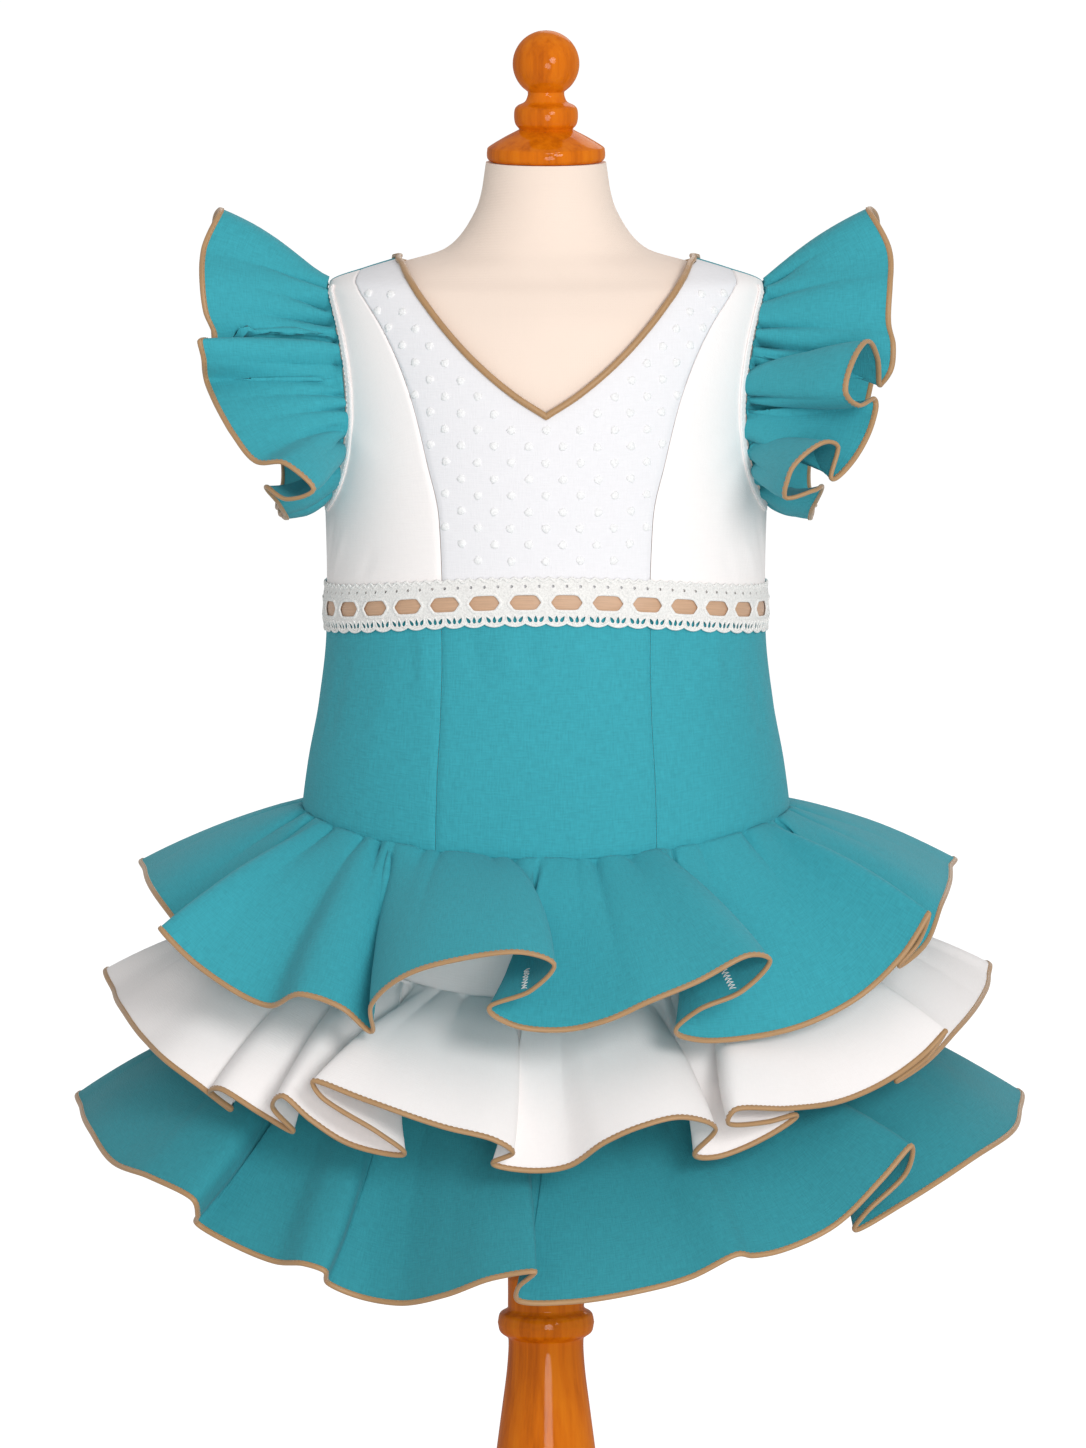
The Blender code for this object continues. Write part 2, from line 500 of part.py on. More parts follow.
def skirt_hem(size, run):
    """Where a skirt ruffle's hem hangs, from its bends."""
    base, normal = seam_point(size, run[:, 1])
    flare = np.radians(run[:, 2:3])
    up = np.array([0.0, 0.0, 1.0])
    return base + size[6] * run[:, 3:4] * (np.sin(flare) * normal - np.cos(flare) * up)


def with_back_flutes(bends, flutes):
    """The bends of the front and sides, then evenly spaced flutes round the back."""
    first, last = bends[0], bends[-1]
    start, end = last[1], first[1] + 360.0
    spacing = (end - start) / (flutes + 1)
    rows = list(bends)
    for i in range(flutes + 1):
        crest = start + (i + 1) * spacing
        flute = BACK_FLUTE[:BACK_FLUTE_RISE] if i == flutes else BACK_FLUTE
        for along_seam, along_hem, flare in flute:
            rows.append((crest + along_seam * spacing, crest + along_hem * spacing, flare, 1.0))
    return rows


def ruffle_surface(top, hem, levels, swell):
    """Rows of points from the seam to the hem, swelling out between them."""
    drop = hem - top
    along = np.roll(hem, -1, axis=0) - np.roll(hem, 1, axis=0)
    out = np.cross(along, -drop)
    out /= np.linalg.norm(out, axis=1, keepdims=True)
    share = np.linspace(0, 1, levels + 1)[:, None, None]
    return top + drop * share + out * swell * 4 * share * (1 - share)


def surface_normals(grid):
    """Unit normals of a grid whose columns close on themselves; rows run from seam to hem."""
    along = np.roll(grid, -1, axis=1) - np.roll(grid, 1, axis=1)
    down = np.gradient(grid, axis=0)
    normal = np.cross(along, -down)
    return normal / np.linalg.norm(normal, axis=-1, keepdims=True)


def kept_in_order(grid, direction, amount):
    """How far each point can move without passing its neighbours in a tight fold."""
    step = np.roll(grid, -1, axis=1) - grid
    length = (step * step).sum(-1)
    amount = np.full(grid.shape[:2], amount)
    for _ in range(FOLD_ROUNDS):
        moved = grid + amount[..., None] * direction
        left = (step * (np.roll(moved, -1, axis=1) - moved)).sum(-1) / length
        tight = left < FOLD_SHARE
        amount = np.where(tight | np.roll(tight, 1, axis=1), amount * FOLD_EASE, amount)
    return amount


def ruffle(name, grid, finish):
    """The wall of a ruffle, from a grid that closes round the body or armhole."""
    normal = surface_normals(grid)
    normal[0] = normal[1]
    inner = grid - kept_in_order(grid, -normal, CLOTH)[..., None] * normal
    faces = [face[::-1] for face in grid_faces(*grid.shape[:2], True)]
    wall(name, grid.reshape(-1, 3), inner.reshape(-1, 3), faces, finish)
    return normal


def binding(name, grid, normal, finish):
    """A four-sided cord of bias binding just past the hem of a ruffle."""
    away = grid[-1] - grid[-2]
    away /= np.linalg.norm(away, axis=1, keepdims=True)
    centre = grid[-1] - normal[-1] * CLOTH / 2 + away * (SEAM_GAP + BINDING_RADIUS)
    sides = (away, normal[-1], -away, -normal[-1])
    radius = np.min([kept_in_order(centre[None], side[None], BINDING_RADIUS)[0] for side in sides], axis=0)
    cord(name, [centre + radius[:, None] * side for side in sides], finish)


def cord(name, corners, finish):
    """A four-sided cord that closes on itself, from the four runs of its corners."""
    points = np.stack(corners)
    count = 4 * points.shape[1]
    faces = [tuple(i % count for i in face) for face in grid_faces(5, points.shape[1], True)]
    add_mesh(name, points.reshape(-1, 3), faces, finish, smooth_angle=CORD_CREASE)


def build_skirt_ruffles(teal, white, beige):
    tiers = (("top", TOP_BENDS, teal, TOP_SWELL), ("middle", MIDDLE_BENDS, white, LOWER_SWELL),
             ("bottom", BOTTOM_BENDS, teal, LOWER_SWELL))
    for tier, bends, finish, swell in tiers:
        size = RUFFLE_SEAMS[tier]
        rows = with_back_flutes(bends, BACK_FLUTES[tier])
        run = closed_spline(rows, SKIRT_WEIGHTS)
        run = thinned(run, skirt_hem(size, run), SKIRT_HEM_POINTS)
        top, _ = seam_point(size, run[:, 0])
        grid = ruffle_surface(top, skirt_hem(size, run), 2, swell)
        normal = ruffle(f"ruffle_{tier}", grid, finish)
        binding(f"binding_{tier}", grid, normal, beige)


def build_underskirt(white):
    """The plain skirt that carries the middle and bottom ruffles."""
    columns, rows = 32, 4
    bearing = np.linspace(-180, 180, columns, endpoint=False)
    top, middle, foot = (seam_point(RUFFLE_SEAMS[tier], bearing, UNDERSKIRT_INSET)[0]
                         for tier in ("top", "middle", "bottom"))
    foot[:, :2] *= 1 + UNDERSKIRT_SLOPE * UNDERSKIRT_TUCK / RUFFLE_SEAMS["bottom"][0]
    foot[:, 2] -= UNDERSKIRT_TUCK
    outer = np.stack([top, middle, (middle + foot) / 2, foot])
    normal = surface_normals(outer)
    faces = [face[::-1] for face in grid_faces(rows, columns, True)]
    inner = outer - CLOTH * normal
    wall("underskirt", outer.reshape(-1, 3), inner.reshape(-1, 3), faces, white)


def sleeve_hem(side, run):
    """Where a sleeve ruffle's hem stands, from its bends round the armhole."""
    bearing, height = armhole_edge(run[:, 1])
    base = body_surface(bearing, height)
    turn = np.radians(run[:, 1])
    away = np.stack([np.zeros_like(turn), -np.sin(turn), np.cos(turn)], -1)
    flare = np.radians(run[:, 2:3])
    out = np.array([1.0, 0.0, 0.0])
    hem = base + SLEEVE_LENGTH * run[:, 3:4] * (np.sin(flare) * away + np.cos(flare) * out)
    return hem * np.array([side, 1.0, 1.0])


def build_sleeves(teal, beige):
    for name, side, bends in (("left", -1.0, SLEEVE_LEFT_BENDS), ("right", 1.0, SLEEVE_RIGHT_BENDS)):
        run = closed_spline(bends + SLEEVE_BACK_BENDS, SLEEVE_WEIGHTS)
        run = thinned(run, sleeve_hem(side, run), SLEEVE_HEM_POINTS)
        bearing, height = armhole_edge(run[:, 0])
        top = body_surface(bearing, height, SLEEVE_SEAM_LIFT) * np.array([side, 1.0, 1.0])
        toward = top.mean(axis=0) - top
        toward[:, 0] = 0
        toward /= np.linalg.norm(toward, axis=1, keepdims=True)
        top = top + toward * SLEEVE_SEAM_INSET
        hem = sleeve_hem(side, run)
        if side > 0:
            top, hem = top[::-1], hem[::-1]
        grid = ruffle_surface(top, hem, 2, SLEEVE_SWELL)
        normal = ruffle(f"sleeve_ruffle_{name}", grid, teal)
        binding(f"sleeve_binding_{name}", grid, normal, beige)


def build_armhole_bands(white):
    """The stitched strip along the front edge of each armhole."""
    rows = 14
    bearing, height = armhole_edge(np.linspace(*ARMHOLE_BAND_TURNS, rows))
    edge = np.stack([bearing, height], -1)
    degree = np.array([METRES_PER_DEGREE, 1.0])
    along = np.gradient(edge * degree, axis=0)
    along /= np.linalg.norm(along, axis=1, keepdims=True)
    away = np.stack([-along[:, 1], along[:, 0]], -1)
    edge += away * ARMHOLE_BAND_INSET / degree
    inner_edge = edge + away * ARMHOLE_BAND_WIDTH / degree
    lift = SEAM_GAP + ARMHOLE_BAND_WALL
    body_panel("armhole_band_right", inner_edge, edge, white, 2, lift, ARMHOLE_BAND_WALL)
    body_panel("armhole_band_left", mirrored(edge), mirrored(inner_edge), white, 2, lift,
               ARMHOLE_BAND_WALL)


def neckline_run(count_front, count_back):
    """Bearing and height all round the neckline, from the point of the V."""
    front = along_path(FRONT_NECKLINE, count_front)
    back = along_path(BACK_NECKLINE, count_back)[::-1]
    right = np.concatenate([front, back[1:]])
    left = mirrored(right[1:-1][::-1]) + np.array([360.0, 0.0])
    return np.concatenate([right, left])


def build_neck_binding(beige):
    """The rolled binding that finishes the neckline, clear of the cloth and the form."""
    run = neckline_run(13, 7)
    centre = body_surface(run[:, 0], run[:, 1])
    normal = body_normal(run[:, 0], run[:, 1])
    along = np.roll(centre, -1, axis=0) - np.roll(centre, 1, axis=0)
    along /= np.linalg.norm(along, axis=1, keepdims=True)
    across = np.cross(normal, along)
    centre = centre + across * (NECK_BINDING_RADIUS + NECK_BINDING_GAP) + normal * NECK_BINDING_LIFT
    corners = [centre + NECK_BINDING_RADIUS * side for side in (-across, normal, across, -normal)]
    cord("neck_binding", corners, beige)


def lace_point(bearing, rise, offset):
    return body_surface(bearing, waist_height(bearing) + rise, offset)


def waist_bearing(length):
    """Bearing at a length along the waist seam, both measured from the centre front."""
    bearing = np.linspace(-180, 180, 721)
    ring = lace_point(bearing, 0.0, 0.0)
    run = np.concatenate([[0], np.cumsum(np.linalg.norm(np.diff(ring, axis=0), axis=1))])
    return np.interp(length, run - run[360], bearing), run[-1]


def build_lace(white):
    """Two bands of lace, each cut through by a row of six-sided ribbon windows."""
    lift = SEAM_GAP * 2 + RIBBON_WALL + LACE_WALL + LACE_SLACK
    pitch = waist_bearing(0.0)[1] / (WINDOWS_FRONT + WINDOWS_BACK)
    ends = WINDOWS_FRONT * pitch / 2
    build_lace_band("lace_front", -ends, pitch, WINDOWS_FRONT, lift, white)
    build_lace_band("lace_back", ends, pitch, WINDOWS_BACK, lift, white)


def build_lace_band(name, start, pitch, windows, lift, white):
    """One band: a run of windows, each in its own square of lace."""
    points, faces = [], []
    for i in range(windows + 1):
        left = start + i * pitch
        if i == 0:
            left += SEAM_GAP / 2
        if i == windows:
            left -= SEAM_GAP / 2
        points += [(left, LACE_HEIGHT / 2), (left, 0.0), (left, -LACE_HEIGHT / 2 + SCALLOP_DEPTH)]
    reach, shoulder, tall = WINDOW_WIDTH / 2, WINDOW_SHOULDER / 2, WINDOW_HEIGHT / 2
    for i in range(windows):
        centre = start + (i + 0.5) * pitch
        first = len(points)
        points += [(centre - reach, 0.0), (centre - shoulder, tall), (centre + shoulder, tall),
                   (centre + reach, 0.0), (centre + shoulder, -tall), (centre - shoulder, -tall),
                   (centre, LACE_HEIGHT / 2), (centre, -LACE_HEIGHT / 2)]
        top_left, left, low_left, top_right, right, low_right = range(i * 3, i * 3 + 6)
        w = range(first, first + 6)
        top, foot = first + 6, first + 7
        faces += [(top_left, left, w[0], w[1]), (top_left, w[1], top), (top, w[1], w[2]),
                  (top, w[2], top_right), (top_right, w[2], w[3], right),
                  (right, w[3], w[4], low_right), (low_right, w[4], foot), (foot, w[4], w[5]),
                  (foot, w[5], low_left), (low_left, w[5], w[0], left)]
    chart = np.array(points)
    girth = waist_bearing(0.0)[1]
    bearing = waist_bearing((chart[:, 0] + girth / 2) % girth - girth / 2)[0]
    outer = lace_point(bearing, chart[:, 1], lift)
    inner = lace_point(bearing, chart[:, 1], lift - LACE_WALL)
    wall(name, outer, inner, faces, white)


def build_ribbon(beige):
    columns = 36
    bearing = np.linspace(-180, 180, columns, endpoint=False)
    lift = SEAM_GAP + RIBBON_WALL + RIBBON_SLACK
    rises = np.array([RIBBON_HEIGHT / 2, -RIBBON_HEIGHT / 2])
    outer = np.stack([lace_point(bearing, rise, lift) for rise in rises])
    inner = np.stack([lace_point(bearing, rise, lift - RIBBON_WALL) for rise in rises])
    faces = [face[::-1] for face in grid_faces(2, columns, True)]
    wall("ribbon", outer.reshape(-1, 3), inner.reshape(-1, 3), faces, beige)


def lathe(name, profile, sides, finish):
    """A solid turned from a profile that starts and ends on the axis."""
    angles = np.linspace(0, 2 * math.pi, sides, endpoint=False)
    inner = [(r, z) for r, z in profile if r > 0]
    points = [(0.0, 0.0, profile[0][1]), (0.0, 0.0, profile[-1][1])]
    for radius, z in inner:
        points += [(radius * math.cos(a), radius * math.sin(a), z) for a in angles]
    faces = []
    for j in range(sides):
        k = (j + 1) % sides
        faces.append((0, 2 + k, 2 + j))
        last = 2 + (len(inner) - 1) * sides
        faces.append((1, last + j, last + k))
        for i in range(len(inner) - 1):
            a, b = 2 + i * sides, 2 + (i + 1) * sides
            faces.append((a + j, a + k, b + k, b + j))
    return add_mesh(name, points, faces, finish, smooth_angle=TURNED_CREASE)


def build_form(cream, wood):
    columns = 24
    bearing = np.linspace(-180, 180, columns, endpoint=False)
    widest = body_surface(bearing, HIP_BACK, -FORM_CLEARANCE)
    rings = [np.concatenate([widest[:, :2] * share, np.full((columns, 1), z)], 1)
             for z, share in FORM_FOOT]
    rings += [body_surface(bearing, z) - FORM_CLEARANCE * body_normal(bearing, z)
              for z in FORM_HEIGHTS]
    rings.append(body_surface(bearing, NECK_TOP, -FORM_CLEARANCE))
    grid = np.stack(rings)
    count = len(grid)
    points = np.concatenate([grid.reshape(-1, 3), [(0.0, 0.0, FORM_BOTTOM), (0.0, 0.0, NECK_TOP)]])
    faces = grid_faces(count, columns, True)
    for j in range(columns):
        k = (j + 1) % columns
        faces.append((count * columns, k, j))
        faces.append((count * columns + 1, (count - 1) * columns + j, (count - 1) * columns + k))
    add_mesh("form_torso", points, faces, cream)
    start = math.asin(CAP_PROFILE[-1][0] / FINIAL_RADIUS)
    ball = [(FINIAL_RADIUS * math.sin(a), FINIAL_CENTRE - FINIAL_RADIUS * math.cos(a))
            for a in np.linspace(start, math.pi, 8)[1:-1]]
    ball.append((0.0, FINIAL_CENTRE + FINIAL_RADIUS))
    profile = [(r, NECK_TOP + z) for r, z in (*CAP_PROFILE, *ball)]
    lathe("neck_cap", profile, 14, wood)
    lathe("stand_column", COLUMN_PROFILE, 14, wood)
    lathe("stand_base", BASE_PROFILE, 28, wood)


def main():
    clear_scene()
    teal = material("teal_crepe", TEAL, 0.75)
    white = material("white_batiste", WHITE, 0.8)
    dotted = material("dotted_tulle", WHITE, 0.8)
    beige = material("beige_satin", BEIGE, 0.45)
    cream = material("form_jersey", CREAM, 0.85)
    wood = material("varnished_wood", WOOD, 0.22)
    build_form(cream, wood)
    build_bodice(white, dotted, teal)
    build_hip_panels(teal)
    build_underskirt(white)
    build_skirt_ruffles(teal, white, beige)
    build_sleeves(teal, beige)
    build_armhole_bands(white)
    build_neck_binding(beige)
    build_ribbon(beige)
    build_lace(white)


main()
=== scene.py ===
# Looks of the flamenco dress on its dress form and turned wooden stand.
# Metres, +Z up, front at -Y. The dress's own formulas are worked out here again,
# finely, so that each piece of cloth lies where its solid lies.

import math

import bpy
import numpy as np
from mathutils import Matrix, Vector
from mathutils.geometry import delaunay_2d_cdt


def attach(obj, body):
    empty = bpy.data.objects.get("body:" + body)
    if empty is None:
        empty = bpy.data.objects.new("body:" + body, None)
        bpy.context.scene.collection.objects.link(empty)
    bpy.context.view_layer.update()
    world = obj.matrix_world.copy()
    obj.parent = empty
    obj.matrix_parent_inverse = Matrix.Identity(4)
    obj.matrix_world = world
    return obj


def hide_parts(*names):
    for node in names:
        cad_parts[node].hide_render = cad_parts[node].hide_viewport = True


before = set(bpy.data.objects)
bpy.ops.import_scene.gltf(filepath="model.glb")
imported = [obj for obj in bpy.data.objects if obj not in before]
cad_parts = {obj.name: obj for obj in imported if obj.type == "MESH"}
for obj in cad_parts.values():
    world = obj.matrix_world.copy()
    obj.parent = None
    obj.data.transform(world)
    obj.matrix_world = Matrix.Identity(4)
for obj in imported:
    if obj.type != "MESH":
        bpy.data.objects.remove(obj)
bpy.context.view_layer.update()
RANDOM = np.random.default_rng(7)

# Camera at the photograph's angle: it looks along +Y and a little down
CAMERA_TARGET = (-0.0015, 0.0, 0.49)
CAMERA_DISTANCE, CAMERA_FALL = 6.0, math.radians(7.0)
VIEW_HEIGHT = 0.724       # what the view's height takes in at the target
SENSOR = 24.0

# Cloth and trims
CLOTH = 0.0010            # drawn thickness of the crepe and batiste
FORM_CLEARANCE = 0.0029   # from the worn cloth's outer face in to the form
STITCH_LENGTH, STITCH_PITCH, STITCH_RADIUS = 0.0017, 0.0026, 0.00016
STITCH_SIDES = 5
STITCH_RINGS = np.array([
    # share of its length from the middle, rise in radii
    (-0.5, -0.6), (-0.2, 0.8), (0.2, 0.8), (0.5, -0.6),
])
BINDING_WIDTH, BINDING_THICKNESS = 0.0030, 0.0022
BINDING_PAST_HEM = 0.0008
NECK_BINDING_WIDTH, NECK_BINDING_THICKNESS = 0.0034, 0.0026
NECK_BINDING_IN, NECK_BINDING_OUT = 0.0016, 0.0007   # its middle, from the neckline
NECK_STITCH_IN, NECK_STITCH_OUT = 0.0010, 0.00105    # its stitches, from its middle
NECK_POINTS = (150, 90)   # of the front and the back
PANEL_GAP = 0.00015
SEAM_SINK, SEAM_ROLL = 0.0009, 0.0016   # how deep a panel turns in at its seams, and how widely
HIP_OVERLAP = 0.0010      # how far the hips run down behind the first ruffle
FOOT_SHARE = 0.25         # share of a panel that follows the waist curve
GATHER_START = 0.0012     # gathers start this far below the seam
GATHER_PUFF, GATHER_SOFT = 0.45, 1.3    # the swell between gathers, and how far down it goes
GATHER_SPREAD, GATHER_NARROW = (0.45, 1.7), 0.15
FOLD_SHARE, FOLD_EASE, FOLD_ROUNDS = 0.68, 0.80, 40   # keeps tight folds clear of themselves
CLOSURE_HALF = 1.4        # bearing from the centre back to each row of the closure's stitches
CLOSURE_POINTS = 60
TACK_COLUMNS = (273, 384)  # columns of the top ruffle with a tack, inside two of its flutes
TACK_START, TACK_STEP, TACK_TURNS = 0.003, 0.0013, 15   # from the hem up the cloth
TACK_WIDTH, TACK_LIFT, TACK_RADIUS = 0.0034, 0.0003, 0.00025
PATH_FINENESS, SPLINE_FINENESS = 800, 60
PANEL_FINENESS, FRONT_COLUMNS, HIP_ROWS = 6, 30, 48
BAND_ROWS, BAND_COLUMNS = 90, 12
RIBBON_COLUMNS, RIBBON_ROWS = 600, 9
SKIRT_COLUMNS, SKIRT_ROWS = 160, 19     # of the underskirt; its rows are for each half
FORM_COLUMNS, FORM_ROWS = 144, 44       # its rows are for the body, and again for the neck
CAP_SIDES, COLUMN_SIDES, BASE_SIDES, PROFILE_FINENESS = 72, 80, 112, 6
TURN_WEIGHT = 0.006       # length of hem that a turn of one radian counts for
# Corners of a grid's cell, as steps of row and column, for cloth and for tubes
CLOTH_CORNERS = ((0, 0), (0, 1), (1, 1), (1, 0))
TUBE_CORNERS = ((0, 0), (1, 0), (1, 1), (0, 1))
RUFFLE_COLUMNS, RUFFLE_ROWS = 960, 21
ROW_CLUSTER = 1.6         # draws a ruffle's rows together towards its seam
SLEEVE_COLUMNS, SLEEVE_ROWS = 620, 25
SKIRT_WEIGHTS = np.array([0.3, 3.3, 1.9, 50.0])
SLEEVE_WEIGHTS = np.array([0.2, 1.3, 1.2, 30.0])
SLEEVE_SEAM_LIFT, SLEEVE_SEAM_INSET, SLEEVE_SWELL = 0.0008, 0.0006, 0.003
SKIRT_RUMPLE, SLEEVE_RUMPLE = (0.0009, 0.05), (0.0008, 0.035)   # height and width
SKIRT_GATHER = (0.027, 0.019)           # depth and width of the gathers
SLEEVE_GATHER = (0.0085, 0.026, 0.012)  # their height too
ARMHOLE_BAND_LIFT, ARMHOLE_BAND_CROWN = 0.0009, 0.0004
ARMHOLE_BAND_TURNS = (166, 24)          # round the armhole from under the arm
ARMHOLE_BAND_STITCHES = (0.20, 0.80)    # shares of its width
LACE_LIFT, LACE_CLOTH = 0.0018, 0.0005
LACE_DROP, LACE_EASE = 0.0008, (0.0058, 0.0045)   # it lies closer past the ribbon's edge
RIBBON_LIFT, RIBBON_PUFF, RIBBON_SINK, RIBBON_CLOTH = 0.0010, 0.0006, 0.0003, 0.0007
TUFT_SIZE, TUFT_COLUMN, TUFT_ROW = 0.0045, 0.016, 0.008
TUFT_LOWEST, TUFT_HIGHEST = 0.581, 0.716
TUFT_CLEARANCE, TUFT_STRAY = 2.0, (0.12, 0.00018)   # bearing from a seam; bearing and height
TUFT_SIDES, TUFT_TOP, TUFT_FOOT = 10, 0.00075, -0.0002
TUFT_RINGS = (
    # share of its size, rise
    (1.0, -0.0002), (0.97, 0.0001), (0.80, 0.0005), (0.45, 0.0007),
)

# Soft creases of the bodice: bearing and height at both ends, width, and rise
CREASES_RIGHT = ((84, 0.566, 70, 0.600, 0.0035, -0.0006), (74, 0.566, 62, 0.590, 0.0030, 0.0005),
                 (60, 0.566, 52, 0.585, 0.0030, -0.0004), (66, 0.640, 44, 0.625, 0.0060, 0.0005))
CREASES_LEFT = ((-84, 0.566, -72, 0.598, 0.0035, -0.0006), (-76, 0.566, -64, 0.592, 0.0030, 0.0005),
                (-58, 0.566, -50, 0.584, 0.0030, -0.0004), (-68, 0.642, -46, 0.628, 0.0060, 0.0005))
CREASES_CENTRE = ((-14, 0.585, 10, 0.600, 0.006, -0.0003), (0, 0.640, 12, 0.660, 0.005, -0.0003))
CREASES_BACK = ((120, 0.566, 112, 0.600, 0.005, -0.0006), (150, 0.566, 146, 0.590, 0.005, -0.0005))
CREASES_HIP = ((40, 0.540, 46, 0.470, 0.008, 0.0006), (-42, 0.540, -50, 0.470, 0.008, 0.0006),
               (66, 0.535, 70, 0.480, 0.006, -0.0006), (-64, 0.535, -70, 0.480, 0.006, -0.0006),
               (10, 0.535, 12, 0.470, 0.009, 0.0004), (130, 0.535, 126, 0.470, 0.01, 0.0007),
               (-34, 0.549, -33, 0.512, 0.004, 0.0011), (-20, 0.550, -17, 0.518, 0.004, -0.0010),
               (-12, 0.550, -10, 0.522, 0.004, 0.0009), (-4, 0.551, -4, 0.516, 0.005, -0.0010),
               (8, 0.550, 9, 0.520, 0.004, 0.0010), (17, 0.550, 15, 0.522, 0.004, -0.0009),
               (36, 0.549, 38, 0.508, 0.005, -0.0010), (50, 0.545, 50, 0.510, 0.005, 0.0010))

# Colours, linear
TEAL = (0.040, 0.345, 0.41)
TEAL_PAINTED_SHADE = 0.80           # painted shade: share of the teal's tone in the bottom ruffle, darkened for the lower light it hangs in
WHITE = (0.945, 0.900, 0.885)
TULLE = (0.825, 0.815, 0.835)
TUFT = (0.90, 0.895, 0.895)
BEIGE = (0.43, 0.25, 0.115)
RIBBON = (0.58, 0.36, 0.225)
LACE_WHITE = (0.84, 0.825, 0.80)
EMBROIDERY = (0.88, 0.865, 0.84)
THREAD_BEIGE = (0.44, 0.25, 0.11)
CREAM = (0.885, 0.735, 0.63)
WOOD, WOOD_DARK, WOOD_LIGHT = (0.66, 0.155, 0.003), (0.46, 0.092, 0.002), (0.76, 0.210, 0.006)

# Light and floor
WORLD_LIGHT = 0.60
LIGHT_AIM = (0.0, 0.0, 0.5)
LIGHTS = (
    # name, place, size, power
    ("key", (1.5, -3.4, 1.8), 1.4, 56.0),
    ("fill", (0.5, -4.4, 0.45), 1.6, 52.0),
    ("back", (0.6, 3.0, 2.4), 2.0, 18.0),
)
FLOOR_REACH = 60.0
FLOOR_GLOW, FLOOR_TONE = 0.83, 0.34   # its own glow, and how much light it gives back

# Outer face of the worn cloth: height, half width, depth to the front and back
BODY_STATIONS = (
    # z, half_width, front, back
    (0.4150, 0.1250, 0.1015, 0.0995),
    (0.4490, 0.1220, 0.0980, 0.0960),
    (0.4720, 0.1190, 0.0955, 0.0920),
    (0.5020, 0.1135, 0.0915, 0.0855),
    (0.5380, 0.1097, 0.0878, 0.0800),
    (0.5650, 0.1094, 0.0855, 0.0785),
    (0.6030, 0.1102, 0.0825, 0.0790),
    (0.6400, 0.1108, 0.0785, 0.0780),
    (0.6700, 0.1110, 0.0735, 0.0750),
    (0.6950, 0.1108, 0.0650, 0.0690),
    (0.7080, 0.1100, 0.0570, 0.0625),
    (0.7127, 0.1070, 0.0535, 0.0590),
    (0.7186, 0.0910, 0.0475, 0.0530),
    (0.7240, 0.0735, 0.0435, 0.0480),
    (0.7301, 0.0530, 0.0395, 0.0430),
    (0.7351, 0.0465, 0.0375, 0.0400),
    (0.7426, 0.0410, 0.0350, 0.0370),
    (0.7526, 0.0362, 0.0330, 0.0345),
    (0.7626, 0.0340, 0.0322, 0.0330),
    (0.7715, 0.0328, 0.0318, 0.0322),
)

WAIST_SIDE, WAIST_FRONT, WAIST_BACK = 0.550, 0.561, 0.550   # seam under the lace
HIP_SIDE, HIP_FRONT, HIP_BACK = 0.449, 0.436, 0.452         # seam over the first ruffle

# Seams that cut the body into panels, as bearing and height from the bottom up
PRINCESS_SEAM = ((28.0, 0.5585), (28.8, 0.600), (32.3, 0.628), (37.0, 0.658),
                 (44.0, 0.684), (52.5, 0.702), (62.0, 0.7128), (76.0, 0.7168), (90.0, 0.7184))
HIP_PRINCESS_TOP, HIP_PRINCESS_FOOT = 28.5, 26.5
FRONT_NECKLINE = ((0.0, 0.6500), (7.5, 0.6589), (14.1, 0.6685), (19.9, 0.6780), (25.1, 0.6875),
                  (29.9, 0.6969), (34.6, 0.7062), (38.0, 0.7117), (41.1, 0.7144), (46.7, 0.7169),
                  (54.2, 0.7195), (64.8, 0.7219), (90.0, 0.7240))
BACK_NECKLINE = ((180.0, 0.7100), (160.0, 0.7120), (135.0, 0.7165), (110.0, 0.7215),
                 (90.0, 0.7240))
SHOULDER_TIP = 0.7120
UNDERARM = 0.603
ARMHOLE_REACH = 27.0      # bearing from the side line to the armhole's edge
ARMHOLE_BAND_WIDTH = 0.005
ARMHOLE_BAND_INSET = 0.0013   # from the armhole's edge
METRES_PER_DEGREE = 0.0018   # along the body's surface near the armhole

# Seams that carry the three skirt ruffles
RUFFLE_SEAMS = {
    # name: half_width, front, back, z_side, z_front, z_back, cut length of the ruffle
    "top": (0.1214, 0.0974, 0.0954, 0.4484, 0.4354, 0.4514, 0.110),
    "middle": (0.1360, 0.1090, 0.1070, 0.3970, 0.3660, 0.4000, 0.100),
    "bottom": (0.1510, 0.1230, 0.1200, 0.3450, 0.3080, 0.3480, 0.102),
}
UNDERSKIRT_INSET = 0.0016   # the underskirt hangs this far inside the ruffle seams
UNDERSKIRT_TUCK, UNDERSKIRT_SLOPE = 0.004, 0.30   # its run below the last seam

